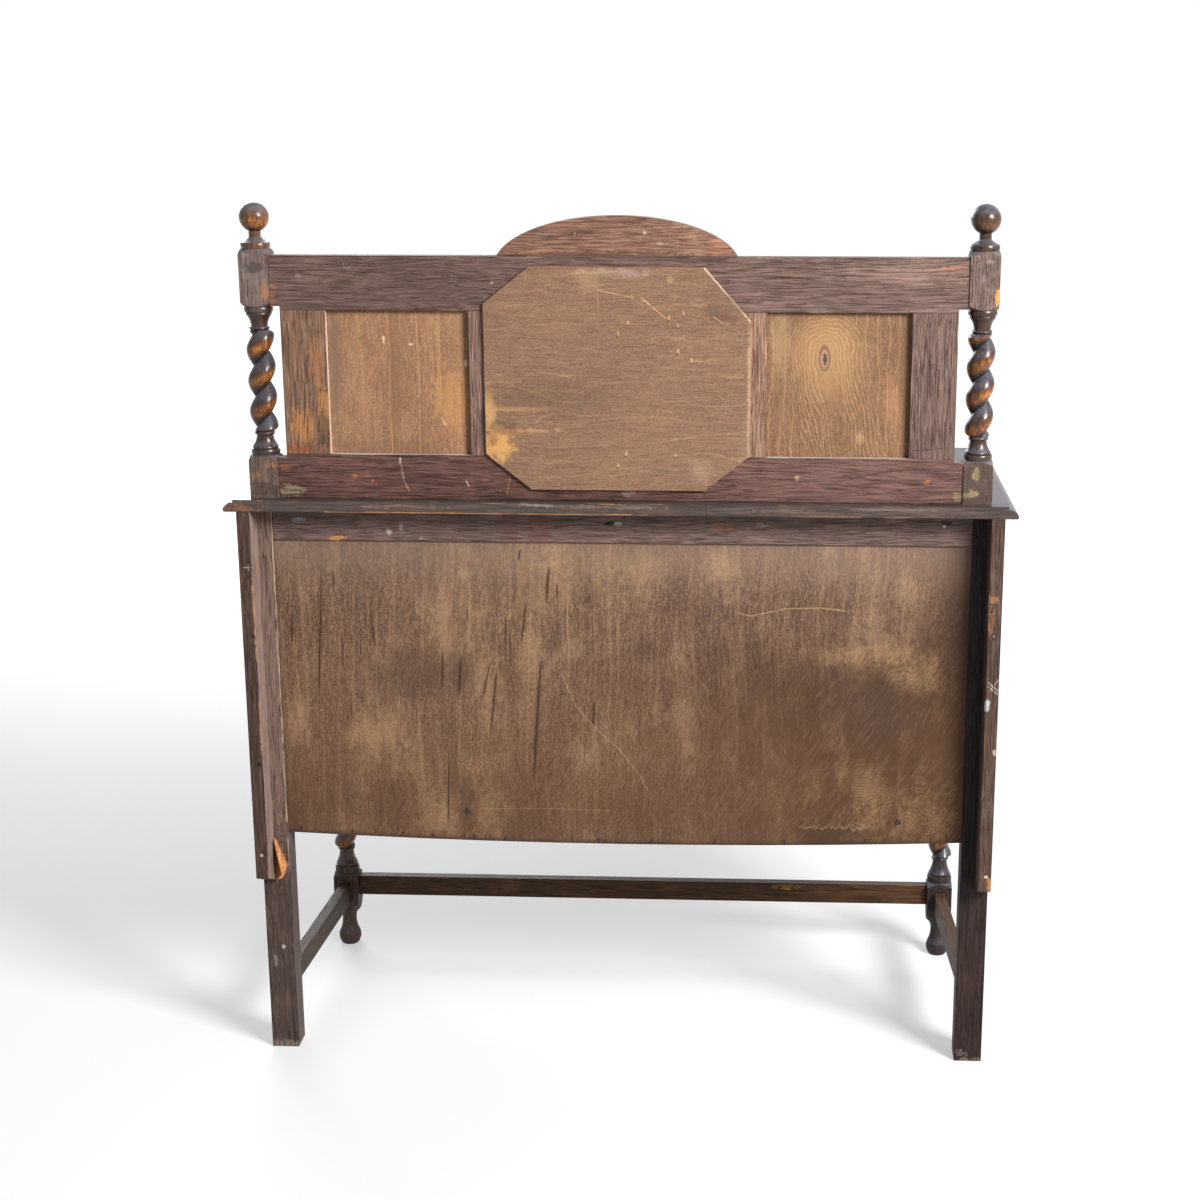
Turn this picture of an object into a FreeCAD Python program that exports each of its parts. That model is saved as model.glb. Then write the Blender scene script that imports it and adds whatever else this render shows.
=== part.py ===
"""Oak buffet cabinet: cupboards and drawers on twisted front legs, under a top with a mirror gallery.

Millimetres, +Z up. The front faces -Y. The origin is on the floor under the middle of the footprint.
Left and right are as seen from the front, so the right-hand side is +X.
"""
import FreeCAD
import Part
import math
import os

Vector = FreeCAD.Vector

# Top board, moulded along the front and both ends
TOP_WIDTH = 1219.0
TOP_DEPTH = 530.0
TOP_THICK = 19.0
TOP_HEIGHT = 940.0
SIDE_OVERHANG = 20.5
FRONT_OVERHANG = 25.0
MOULD_WIDTH = 16.0
MOULD_STEP = 4.0
MOULD_SWELL = 2.2
MOULD_NOSE = 4.0

# Timber sizes and the fit of joints
STOCK = 44.5
RAIL_THICK = 22.0
EASE = 1.2
FIT = 0.1
TENON_LONG = 16.0
TENON_THICK = 9.0
TENON_STEP = 6.0
DOWEL_R = 6.0
DOWEL_LONG = 12.0

# Case
CASE_FLOOR = 386.0
SIDE_THICK = 20.0
FLOOR_THICK = 14.0
PARTITION_THICK = 20.0
FRONT_TOP_RAIL = 26.0
FRONT_MID_RAIL = 22.0
FRONT_LOW_RAIL = 40.0
DRAWER_OPEN = 125.0
SHELF_THICK = 14.0
SHELF_RISE = 164.0
CLEAT = 16.0

# Back of the case and the strips that meet the wall
BACK_RAIL = 54.0
BACK_RAIL_RECESS = 3.0
BACK_THICK = 6.0
BACK_RECESS = 7.0
BACK_DROP = 6.0
BACK_SAG = 12.0
GROOVE = 8.0
STRIP_WIDTH = 21.0
STRIP_DEPTH = 45.0
STRIP_FOOT = 318.0
STRIP_BEVEL = 20.0

# Turned work shared by the front legs and the gallery posts
RING_R = 21.2
RING_SWELL = 0.9
COLLAR_R = 18.8
NECK_R = 12.8
COVE_HOLLOW = 1.6
ASTRAGAL = 5.0
ASTRAGAL_SWELL = 2.6
TWIST_MAX = 21.4
TWIST_MIN = 11.0
TWIST_PITCH = 47.0
TWIST_TAPER = 14.0
TWIST_POINTS = 16
SHOULDER = 9.0
CORNER_R = 33.0

# Front legs and stretchers
FOOT_BASE_R = 15.0
FOOT_R = 20.0
FOOT_BULGE = 11.0
FOOT_HIP_R = 17.6
FOOT_HIP = 26.0
FOOT_NECK_R = 13.0
FOOT_NECK = 51.0
LEG_BLOCK_LOW = 68.0
LEG_BLOCK_HIGH = 143.0
LEG_BLOCK_SHOULDER = 22.0
LEG_BEAD = 12.0
LEG_COLLAR = 6.0
LEG_COVE = 24.0
LEG_SQUARE_DROP = 10.0
LEG_TWIST_LEFT = 214.0
LEG_TWIST_RIGHT = 196.0
STRETCHER_THICK = 20.0
STRETCHER_TALL = 36.5
FRONT_STRETCHER = 98.5
SIDE_STRETCHER = 89.0

# Gallery above the top
GALLERY_SETBACK = 18.0
GALLERY_RECESS = 2.0
LOWER_BLOCK = 66.0
COLUMN = 226.0
UPPER_BLOCK = 87.0
POST_BEAD = 8.0
POST_COLLAR = 5.0
POST_COVE = 17.0
POST_TWIST_LEFT = 205.0
POST_TWIST_RIGHT = 223.0
FINIAL_RING = 9.0
FINIAL_COVE = 8.0
FINIAL_NECK_R = 9.0
BALL_R = 22.25
BALL_RISE = 46.0
GALLERY_LOW_RAIL = 69.0
GALLERY_TOP_RAIL = 82.0
GALLERY_TOP_DROP = 9.0
RAIL_NOTCH = 6.0
STILE_GAP = 14.5
STILE_WIDTH = 69.0
MUNTIN_SHOW = 40.5
MUNTIN_UNDER = 9.5
STUB_INSET = 10.0
PLY_THICK = 6.0
PLY_RECESS = 9.0
CREST_A = 184.0
CREST_B = 75.0
CREST_RISE = 59.5
CREST_THICK = 20.0

# Mirror with eight sides
MIRROR_HALF = 184.5
MIRROR_RISE = 34.0
MIRROR_DROP = 32.0
CUT_X = 58.0
CUT_Z = 46.0
GLASS_THICK = 4.0
GLASS_BEVEL = 1.5
GLASS_FIT = 0.5
FRAME_LAP = 9.0
FRAME_GROW = 16.5
FRAME_BASE = 8.0
FRAME_RAISED = 6.0
FRAME_STEP = 7.0
BACKBOARD_THICK = 5.0
BACKBOARD_GROW = 16.5
BACKBOARD_ODD_CUT_X = 69.0
BACKBOARD_ODD_CUT_Z = 79.0
WEDGE_LONG = 40.0
WEDGE_TALL = 12.0

# Doors, their mouldings and hinges
DOOR_THICK = 20.0
DOOR_GAP = 2.0
DOOR_STOP_GAP = 0.4
BORDER = 38.0
BORDER_WIDTH = 24.0
BORDER_BASE = 5.0
BORDER_RAISED = 4.0
BORDER_STEP = 6.0
FIELD_INSET = 20.0
FIELD_THICK = 8.0
FIELD_BEVEL = 6.0
HINGE_GAP = 1.6
HINGE_LONG = 50.0
HINGE_INSET = 45.0
LEAF_LET = 1.0
LEAF_CLEAR = 0.2
LEAF_DEEP = 16.0
KNUCKLE_R = 3.0
KNUCKLE_LONG = 16.0
KNUCKLE_CLEAR = 0.3
HINGE_PIN_R = 1.5
HINGE_PIN_HEAD_R = 2.6
HINGE_PIN_HEAD = 1.2
RUN_FIT = 0.05

# Drawers and their runners
DRAWER_GAP = 1.5
DRAWER_FRONT = 20.0
DRAWER_BEVEL = 5.0
DRAWER_SIDE = 10.0
DRAWER_REAR_GAP = 25.5
DRAWER_TALL = 104.0
DRAWER_BOTTOM = 5.0
DRAWER_BOTTOM_RISE = 8.0
DRAWER_GROOVE = 5.0
RUN_GAP = 0.3
RUNNER = 22.0
GUIDE = 20.0

# Drop handles
PLATE_HALF_WIDE = 12.0
PLATE_HALF_TALL = 21.0
PLATE_THICK = 2.5
PLATE_RISE = 9.0
HANDLE_PIN_OUT = 10.5
HANDLE_PIN_R = 1.5
LUG_R = 3.6
LUG_THICK = 2.2
LUG_GAP = 6.0
EYE_CLEAR = 0.4
DROP_R = 7.0
DROP_NECK_R = 2.2
DROP_TIP_R = 2.5
DROP_LONG = 42.0
DROP_BELLY = 32.0
DROP_COLLAR = 9.0
DOOR_HANDLE_INSET = 20.0
DRAWER_HANDLE_INSET = 120.0

# Levels and faces that several pieces share
top_under = TOP_HEIGHT - TOP_THICK
back = TOP_DEPTH / 2
face = FRONT_OVERHANG - TOP_DEPTH / 2
side_out = TOP_WIDTH / 2 - SIDE_OVERHANG
side_in = side_out - SIDE_THICK
post_in = side_in - STOCK
post_x = side_in - STOCK / 2
post_back = face + STOCK
front_y = face + STOCK / 2
rail_back = face + RAIL_THICK
leg_in = side_out - STOCK
leg_x = side_out - STOCK / 2
leg_back = back - STRIP_DEPTH
leg_front = leg_back - STOCK
floor_top = CASE_FLOOR + FLOOR_THICK
leg_square = CASE_FLOOR - LEG_SQUARE_DROP
drawer_high = top_under - FRONT_TOP_RAIL
drawer_low = drawer_high - DRAWER_OPEN
door_high = drawer_low - FRONT_MID_RAIL
door_low = CASE_FLOOR + FRONT_LOW_RAIL
shelf_low = floor_top + SHELF_RISE
wall_x = PARTITION_THICK / 2
back_rail_low = top_under - BACK_RAIL
back_rail_face = leg_back - BACK_RAIL_RECESS
panel_face = leg_back - BACK_RECESS
panel_front = panel_face - BACK_THICK
panel_low = CASE_FLOOR - BACK_DROP

post_face = back - GALLERY_SETBACK
post_y = post_face - STOCK / 2
column_low = TOP_HEIGHT + LOWER_BLOCK
column_high = column_low + COLUMN
post_top = column_high + UPPER_BLOCK
gallery_back = post_face - GALLERY_RECESS
gallery_front = gallery_back - RAIL_THICK
gallery_rail_high = post_top - GALLERY_TOP_DROP
gallery_open_high = gallery_rail_high - GALLERY_TOP_RAIL
gallery_open_low = TOP_HEIGHT + GALLERY_LOW_RAIL
stile_out = post_in - STILE_GAP
stile_in = stile_out - STILE_WIDTH
muntin_out = MIRROR_HALF + MUNTIN_SHOW
muntin_in = MIRROR_HALF - MUNTIN_UNDER
mirror_low = TOP_HEIGHT + MIRROR_RISE
mirror_high = gallery_rail_high - MIRROR_DROP

pin_x = post_in - HINGE_GAP / 2
pin_y = face - KNUCKLE_R - LEAF_CLEAR
hinge_lows = (door_low + HINGE_INSET, door_high - HINGE_INSET - HINGE_LONG)
door_in = wall_x + DOOR_GAP
door_out = post_in - HINGE_GAP
drawer_in = wall_x + DRAWER_GAP
drawer_out = post_in - DRAWER_GAP
drawer_back = face + DRAWER_FRONT
drawer_end = leg_front - DRAWER_REAR_GAP

# Bounds of pieces that other pieces are cut around: x, y and z from low to high
FRONT_TOP_RAIL_Z = (drawer_high, top_under)
FRONT_MID_RAIL_Z = (door_high, drawer_low)
FRONT_LOW_RAIL_Z = (CASE_FLOOR, door_low)
FRONT_RAILS_Z = (FRONT_TOP_RAIL_Z, FRONT_MID_RAIL_Z, FRONT_LOW_RAIL_Z)
BACK_RAIL_Z = (back_rail_low, top_under)
FRONT_STRETCHER_Z = (FRONT_STRETCHER, FRONT_STRETCHER + STRETCHER_TALL)
SIDE_STRETCHER_Z = (SIDE_STRETCHER, SIDE_STRETCHER + STRETCHER_TALL)
GALLERY_LOW_RAIL_Z = (TOP_HEIGHT, gallery_open_low)
GALLERY_TOP_RAIL_Z = (gallery_open_high, gallery_rail_high)
FRONT_RAIL_Y = (face, rail_back)
BACK_RAIL_Y = (back_rail_face - RAIL_THICK, back_rail_face)
BACK_PANEL_Y = (panel_front, panel_face)
BACK_PANEL_Z = (panel_low, back_rail_low + GROOVE)
FRONT_STRETCHER_Y = (front_y - STRETCHER_THICK / 2, front_y + STRETCHER_THICK / 2)
GALLERY_Y = (gallery_front, gallery_back)
GALLERY_PLY_Y = (gallery_back - PLY_RECESS - PLY_THICK, gallery_back - PLY_RECESS)


def box(x, y, z):
    return Part.makeBox(x[1] - x[0], y[1] - y[0], z[1] - z[0], Vector(x[0], y[0], z[0]))


def wider(span, by):
    return (span[0] - by, span[1] + by)


def pocket(x, y, z):
    """Room for a box-shaped tongue or tenon, larger than it all round by the joint clearance."""
    return box(wider(x, FIT), wider(y, FIT), wider(z, FIT))


def mirrored(shape):
    return shape.mirror(Vector(0, 0, 0), Vector(1, 0, 0))


def both_sides(shapes):
    return shapes + [mirrored(shape) for shape in shapes]


def sided(shape, side):
    """The shape itself for the right-hand side, its mirror image for the left."""
    return shape if side > 0 else mirrored(shape)


def eased(shape):
    return shape.makeFillet(EASE, shape.Edges)


def prism(points, along):
    """Solid drawn out of a flat outline by a vector."""
    return Part.Face(Part.makePolygon(points + points[:1])).extrude(along)


def prism_xz(points, y):
    return prism([Vector(px, y[0], pz) for px, pz in points], Vector(0, y[1] - y[0], 0))


def lathe(path):
    """Solid turned about the Z axis. A step is an end point (r, z), or (r, z, r, z) through a mid point."""
    start = Vector(0, 0, path[0][-1])
    here = start
    edges = []
    for step in path:
        there = Vector(step[-2], 0, step[-1])
        if len(step) == 4:
            edges.append(Part.Arc(here, Vector(step[0], 0, step[1]), there).toShape())
        else:
            edges.append(Part.makeLine(here, there))
        here = there
    end = Vector(0, 0, here.z)
    if here.x > 0:
        edges.append(Part.makeLine(here, end))
    edges.append(Part.makeLine(end, start))
    return Part.Face(Part.Wire(edges)).revolve(Vector(0, 0, 0), Vector(0, 0, 1), 360)


def rod(radius, low, high, x=0.0, y=0.0):
    return Part.makeCylinder(radius, high - low, Vector(x, y, low))


def cross_rod(radius, x, y, z):
    return Part.makeCylinder(radius, x[1] - x[0], Vector(x[0], y, z), Vector(1, 0, 0))


# Rails and stretchers that run from side to side with a tenon at each end


def tenon_spans(reach, y, z):
    middle = (y[0] + y[1]) / 2
    tenon_y = (middle - TENON_THICK / 2, middle + TENON_THICK / 2)
    return (reach, reach + TENON_LONG), tenon_y, wider(z, -TENON_STEP)


def tenoned_bar(reach, y, z):
    """Bar from -reach to +reach, with a tenon past each end."""
    x, tenon_y, tenon_z = tenon_spans(reach, y, z)
    tongue = box((-x[1], x[1]), tenon_y, tenon_z)
    return eased(box((-reach, reach), y, z)).fuse(tongue)


def mortise(side, reach, y, z):
    return sided(pocket(*tenon_spans(reach, y, z)), side)


# Turned work


def square_block(low, high, low_shoulder, high_shoulder):
    """Square length of a turned post. A shoulder is the height over which its corners are turned away."""
    path = [(RING_R, low), (CORNER_R, low + low_shoulder)] if low_shoulder else [(CORNER_R, low)]
    path += [(CORNER_R, high - high_shoulder), (RING_R, high)] if high_shoulder else [(CORNER_R, high)]
    half = (-STOCK / 2, STOCK / 2)
    return box(half, half, (low, high)).common(lathe(path))


def vase(foot, way, bead, collar, cove):
    """Bead, collar, cove and astragal between a square block and a twist, going up or down from the block."""
    collar_z = foot + way * bead
    cove_z = collar_z + way * collar
    astragal_z = cove_z + way * cove
    end = astragal_z + way * ASTRAGAL
    cove_r = (COLLAR_R + NECK_R) / 2 - COVE_HOLLOW
    path = [(RING_R, foot)]
    path.append((RING_R + RING_SWELL, (foot + collar_z) / 2, RING_R, collar_z))
    path.append((COLLAR_R, collar_z))
    path.append((COLLAR_R + RING_SWELL, (collar_z + cove_z) / 2, COLLAR_R, cove_z))
    path.append((cove_r, (cove_z + astragal_z) / 2, NECK_R, astragal_z))
    path.append((NECK_R + ASTRAGAL_SWELL, (astragal_z + end) / 2, NECK_R, end))
    return lathe(path), end


def twist_outline(low, turn):
    """Cross-section of the twist: one round strand, with a valley where its two sides meet."""
    points = []
    for step in range(TWIST_POINTS + 1):
        around = math.pi * (2 * step / TWIST_POINTS - 1)
        radius = TWIST_MIN + (TWIST_MAX - TWIST_MIN) * abs(math.cos(around / 2))
        points.append(Vector(radius * math.cos(around + turn), radius * math.sin(around + turn), low))
    points[-1] = points[0]
    curve = Part.BSplineCurve()
    curve.interpolate(points)
    return Part.Wire([curve.toShape()])


def twist(low, high, crest):
    """Single right-handed twist whose strand faces +X at the height named crest, rounded off at both ends."""
    spine = Part.Wire([Part.makeLine(Vector(0, 0, low), Vector(0, 0, high))])
    guide = Part.makeHelix(TWIST_PITCH, high - low, CORNER_R)
    guide.translate(Vector(0, 0, low))
    pipe = Part.BRepOffsetAPI.MakePipeShell(spine)
    pipe.setAuxiliarySpine(Part.Wire(guide.Edges), True, 0)
    pipe.add(twist_outline(low, 2 * math.pi * (low - crest) / TWIST_PITCH), False, False)
    pipe.build()
    pipe.makeSolid()
    wide = TWIST_MAX + RING_SWELL
    mid_r = NECK_R + (wide - NECK_R) * math.sqrt(0.5)
    mid_z = TWIST_TAPER * (1 - math.sqrt(0.5))
    path = [(NECK_R, low), (mid_r, low + mid_z, wide, low + TWIST_TAPER)]
    path += [(wide, high - TWIST_TAPER), (mid_r, high - mid_z, NECK_R, high)]
    return pipe.shape().common(lathe(path))


def twisted_length(low, high, bead, collar, cove, crest):
    foot, twist_low = vase(low, 1, bead, collar, cove)
    head, twist_high = vase(high, -1, bead, collar, cove)
    return [foot, twist(twist_low, twist_high, crest), head]


# Legs, stretchers and wall strips


def side_stretcher_plan(inset, front_reach, back_reach):
    """Plan of a right-hand side stretcher, which spreads from the front leg out to the rear leg."""
    half = STRETCHER_THICK / 2 - inset
    slope = (leg_x - post_x) / (leg_front - post_back)
    front = (post_x - slope * front_reach, post_back - front_reach)
    rear = (leg_x + slope * back_reach, leg_front + back_reach)
    return [
        (front[0] - half, front[1]),
        (front[0] + half, front[1]),
        (rear[0] + half, rear[1]),
        (rear[0] - half, rear[1]),
    ]


def side_stretcher_solid(inset, front_reach, back_reach, z):
    plan = side_stretcher_plan(inset, front_reach, back_reach)
    return prism([Vector(px, py, z[0]) for px, py in plan], Vector(0, 0, z[1] - z[0]))


def side_stretcher_tenon(clearance):
    inset = (STRETCHER_THICK - TENON_THICK) / 2 - clearance
    reach = TENON_LONG + clearance
    return side_stretcher_solid(inset, reach, reach, wider(SIDE_STRETCHER_Z, clearance - TENON_STEP))


def side_stretcher():
    bar = eased(side_stretcher_solid(0.0, 0.0, 0.0, SIDE_STRETCHER_Z))
    return bar.fuse(side_stretcher_tenon(0.0))


def hinge_pocket(low):
    return pocket((post_in, post_in + LEAF_LET), (face, face + LEAF_DEEP), (low, low + HINGE_LONG))


def front_leg(side, crest):
    waist_r = (FOOT_HIP_R + FOOT_NECK_R) / 2 - COVE_HOLLOW
    foot = lathe(
        [
            (FOOT_BASE_R, 0.0),
            (FOOT_R, FOOT_BULGE, FOOT_HIP_R, FOOT_HIP),
            (waist_r, (FOOT_HIP + FOOT_NECK) / 2, FOOT_NECK_R, FOOT_NECK),
            (FOOT_NECK_R + COVE_HOLLOW, (FOOT_NECK + LEG_BLOCK_LOW) / 2, RING_R, LEG_BLOCK_LOW),
        ]
    )
    pieces = [square_block(LEG_BLOCK_LOW, LEG_BLOCK_HIGH, LEG_BLOCK_SHOULDER, SHOULDER)]
    pieces += twisted_length(LEG_BLOCK_HIGH, leg_square, LEG_BEAD, LEG_COLLAR, LEG_COVE, crest)
    pieces.append(square_block(leg_square, top_under, SHOULDER, 0.0))
    leg = foot.fuse(pieces)
    leg.translate(Vector(side * post_x, front_y, 0))
    cuts = [mortise(side, post_in, FRONT_STRETCHER_Y, FRONT_STRETCHER_Z)]
    cuts += [mortise(side, post_in, FRONT_RAIL_Y, z) for z in FRONT_RAILS_Z]
    cuts += [sided(hinge_pocket(low), side) for low in hinge_lows]
    cuts.append(sided(side_stretcher_tenon(FIT), side))
    return leg.cut(cuts)


def rear_leg():
    leg = eased(box((leg_in, side_out), (leg_front, leg_back), (0.0, top_under)))
    cuts = [side_stretcher_tenon(FIT), mortise(1, leg_in, BACK_RAIL_Y, BACK_RAIL_Z)]
    cuts.append(pocket((leg_in, leg_in + GROOVE), BACK_PANEL_Y, BACK_PANEL_Z))
    return leg.cut(cuts)


def wall_strip():
    outline = [
        (leg_back, STRIP_FOOT - STRIP_BEVEL),
        (back, STRIP_FOOT),
        (back, top_under),
        (leg_back, top_under),
    ]
    x = side_out - STRIP_WIDTH
    return eased(prism([Vector(x, py, pz) for py, pz in outline], Vector(STRIP_WIDTH, 0, 0)))


# Case


def side_board():
    return eased(box((side_in, side_out), (face, leg_front), (CASE_FLOOR, top_under)))


def case_floor():
    z = (CASE_FLOOR, floor_top)
    board = box((-side_in, side_in), (rail_back, panel_front), z)
    front_corner = box((post_in, side_in), (face, post_back), z)
    rear_corner = box((leg_in, side_out), (leg_front, leg_back), z)
    return board.cut(both_sides([front_corner, rear_corner]))


def back_panel():
    reach = leg_in + GROOVE
    low, high = BACK_PANEL_Z
    ends = [Vector(-reach, panel_front, low), Vector(reach, panel_front, low)]
    tops = [Vector(reach, panel_front, high), Vector(-reach, panel_front, high)]
    sag = Part.Arc(ends[0], Vector(0, panel_front, low - BACK_SAG), ends[1]).toShape()
    path = [ends[1]] + tops + [ends[0]]
    lines = [Part.makeLine(a, b) for a, b in zip(path, path[1:])]
    return Part.Face(Part.Wire([sag] + lines)).extrude(Vector(0, BACK_THICK, 0))


def back_rail():
    reach = leg_in + GROOVE
    groove = pocket((-reach, reach), BACK_PANEL_Y, BACK_PANEL_Z)
    return tenoned_bar(leg_in, BACK_RAIL_Y, BACK_RAIL_Z).cut(groove)


def partition():
    x = (-wall_x, wall_x)
    board = box(x, (face, panel_front), (floor_top, top_under))
    cuts = [box(x, FRONT_RAIL_Y, z) for z in FRONT_RAILS_Z]
    cuts.append(box(x, BACK_RAIL_Y, BACK_RAIL_Z))
    return board.cut(cuts)


def drawer_runners():
    """Runner against the partition, and one against the side board with a guide beside the drawer."""
    inner = box((wall_x, wall_x + RUNNER), (rail_back, leg_front), FRONT_MID_RAIL_Z)
    outline = [
        (post_in - RUNNER, door_high),
        (side_in, door_high),
        (side_in, drawer_low + GUIDE),
        (post_in, drawer_low + GUIDE),
        (post_in, drawer_low),
        (post_in - RUNNER, drawer_low),
    ]
    outer = prism_xz(outline, (post_back, leg_front))
    return both_sides([inner, outer])


def shelf():
    y = (face + DOOR_THICK + DOOR_STOP_GAP, leg_front)
    z = (shelf_low, shelf_low + SHELF_THICK)
    board = box((wall_x, side_in), y, z)
    return board.cut(box((post_in, side_in), (face, post_back), z))


def shelf_cleats():
    z = (shelf_low - CLEAT, shelf_low)
    inner = box((wall_x, wall_x + CLEAT), (rail_back, leg_front), z)
    outer = box((side_in - CLEAT, side_in), (post_back, leg_front), z)
    return both_sides([inner, outer])


# Top board


def mould_cutter(place, along):
    """Cutter for the moulded edge: a quirk, a swelling slope and a round nose, seen end on."""
    over = MOULD_WIDTH
    quirk = (0.0, TOP_HEIGHT - MOULD_STEP)
    nose = (MOULD_WIDTH, top_under + MOULD_NOSE)
    slope_mid = ((quirk[0] + nose[0]) / 2 + MOULD_SWELL, (quirk[1] + nose[1]) / 2 + MOULD_SWELL)
    round_in = MOULD_NOSE * (1 - math.sqrt(0.5))
    under = (MOULD_WIDTH - MOULD_NOSE, top_under)
    edges = [
        Part.makeLine(place(0.0, TOP_HEIGHT + over), place(*quirk)),
        Part.Arc(place(*quirk), place(*slope_mid), place(*nose)).toShape(),
        Part.Arc(place(*nose), place(MOULD_WIDTH - round_in, top_under + round_in), place(*under)).toShape(),
    ]
    outside = [under, (under[0], top_under - over), (2 * over, top_under - over)]
    outside += [(2 * over, TOP_HEIGHT + over), (0.0, TOP_HEIGHT + over)]
    edges += [Part.makeLine(place(*a), place(*b)) for a, b in zip(outside, outside[1:])]
    return Part.Face(Part.Wire(edges)).extrude(along)


def end_cutter():
    start = TOP_WIDTH / 2 - MOULD_WIDTH
    return mould_cutter(lambda u, z: Vector(start + u, -TOP_DEPTH, z), Vector(0, 2 * TOP_DEPTH, 0))


def front_cutter():
    start = TOP_DEPTH / 2 - MOULD_WIDTH
    return mould_cutter(lambda u, z: Vector(-TOP_WIDTH, -start - u, z), Vector(2 * TOP_WIDTH, 0, 0))


def top_board():
    board = eased(box((-TOP_WIDTH / 2, TOP_WIDTH / 2), (-back, back), (top_under, TOP_HEIGHT)))
    cuts = [end_cutter(), mirrored(end_cutter()), front_cutter()]
    for side in (-1, 1):
        cuts.append(rod(DOWEL_R + FIT, TOP_HEIGHT - DOWEL_LONG - FIT, TOP_HEIGHT, side * post_x, post_y))
    return board.cut(cuts)


# Gallery


def gallery_post(side, crest):
    pieces = [square_block(TOP_HEIGHT, column_low, 0.0, SHOULDER)]
    pieces += twisted_length(column_low, column_high, POST_BEAD, POST_COLLAR, POST_COVE, crest)
    pieces.append(square_block(column_high, post_top, SHOULDER, SHOULDER))
    post = rod(DOWEL_R, TOP_HEIGHT - DOWEL_LONG, column_low).fuse(pieces)
    post = post.cut(rod(DOWEL_R + FIT, post_top - DOWEL_LONG - FIT, post_top))
    post.translate(Vector(side * post_x, post_y, 0))
    return post.cut([mortise(side, post_in, GALLERY_Y, z) for z in (GALLERY_LOW_RAIL_Z, GALLERY_TOP_RAIL_Z)])


def finial():
    cove_low = post_top + FINIAL_RING
    neck = cove_low + FINIAL_COVE
    ball = post_top + BALL_RISE
    ball_low = ball - math.sqrt(BALL_R ** 2 - FINIAL_NECK_R ** 2)
    path = [
        (RING_R, post_top),
        (RING_R + RING_SWELL, (post_top + cove_low) / 2, RING_R, cove_low),
        ((RING_R + FINIAL_NECK_R) / 2 - COVE_HOLLOW, (cove_low + neck) / 2, FINIAL_NECK_R, neck),
        (FINIAL_NECK_R, ball_low),
        (BALL_R, ball, 0.0, ball + BALL_R),
    ]
    turned = lathe(path).fuse(rod(DOWEL_R, post_top - DOWEL_LONG, post_top))
    turned.translate(Vector(post_x, post_y, 0))
    return turned


def octagon(grow, y):
    """Slab with the mirror's eight-sided outline, every side moved out by the same amount."""
    slant = math.hypot(CUT_X, CUT_Z)
    scale = 1 + grow * ((CUT_X + CUT_Z) / slant - 1) * slant / (CUT_X * CUT_Z)
    x = MIRROR_HALF + grow
    low = mirror_low - grow
    high = mirror_high + grow
    points = []
    for sx, sz in ((1, -1), (1, 1), (-1, 1), (-1, -1)):
        corner_z = high if sz > 0 else low
        side_point = (sx * x, corner_z - sz * CUT_Z * scale)
        end_point = (sx * (x - CUT_X * scale), corner_z)
        points += [side_point, end_point] if sx * sz > 0 else [end_point, side_point]
    return prism_xz(points, y)


def panel_spans(clearance):
    x = wider((muntin_out, stile_in), GROOVE + clearance)
    z = wider((gallery_open_low, gallery_open_high), GROOVE + clearance)
    return x, wider(GALLERY_PLY_Y, clearance), z


def gallery_panel():
    return box(*panel_spans(0.0))


def upright_stub(x, clearance):
    """Stub tenons of a gallery upright, as one tongue through its whole height and into both rails."""
    middle = (gallery_front + gallery_back) / 2
    y = (middle - TENON_THICK / 2, middle + TENON_THICK / 2)
    z = wider((gallery_open_low, gallery_open_high), GROOVE)
    return box(wider(wider(x, -STUB_INSET), clearance), wider(y, clearance), wider(z, clearance))


def muntin_stub(clearance):
    return upright_stub((MIRROR_HALF, muntin_out), clearance)


def stile_stub(clearance):
    return upright_stub((stile_in, stile_out), clearance)


def gallery_cuts():
    """What the rails lose to the mirror, the panels and the uprights."""
    shapes = [box(*panel_spans(FIT)), muntin_stub(FIT), stile_stub(FIT)]
    return both_sides(shapes) + [octagon(GLASS_FIT, GALLERY_Y)]


def gallery_rail(z, notch_z):
    bar = tenoned_bar(post_in, GALLERY_Y, z)
    notch = box((stile_out, post_in), GALLERY_Y, notch_z)
    return bar.cut(gallery_cuts() + both_sides([notch]))


def gallery_upright(x, stub):
    y = GALLERY_Y
    upright = eased(box(x, y, (gallery_open_low, gallery_open_high))).fuse(stub)
    return upright.cut([box(*panel_spans(FIT)), octagon(GLASS_FIT, y)])


def crest_board():
    centre = Vector(0, gallery_front, gallery_rail_high + CREST_RISE - CREST_B)
    ellipse = Part.Ellipse(centre, CREST_A, CREST_B).toShape()
    ellipse.rotate(centre, Vector(1, 0, 0), 90)
    oval = Part.Face(Part.Wire([ellipse])).extrude(Vector(0, CREST_THICK, 0))
    keep_z = (gallery_rail_high, gallery_rail_high + CREST_RISE + CREST_B)
    return oval.common(box((-CREST_A, CREST_A), (gallery_front, gallery_front + CREST_THICK), keep_z))


def mirror_glass():
    glass = octagon(0.0, (gallery_front, gallery_front + GLASS_THICK))
    edges = [edge for edge in glass.Edges if abs(edge.BoundBox.YMax - gallery_front) < FIT]
    return glass.makeChamfer(GLASS_BEVEL, edges)


def mirror_frame():
    base_y = (gallery_front - FRAME_BASE, gallery_front)
    raised_y = (base_y[0] - FRAME_RAISED, base_y[0])
    base = octagon(FRAME_GROW, base_y).cut(octagon(-FRAME_LAP, base_y))
    raised = octagon(FRAME_GROW - FRAME_STEP, raised_y).cut(octagon(FRAME_STEP - FRAME_LAP, raised_y))
    return base.fuse(raised)


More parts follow.
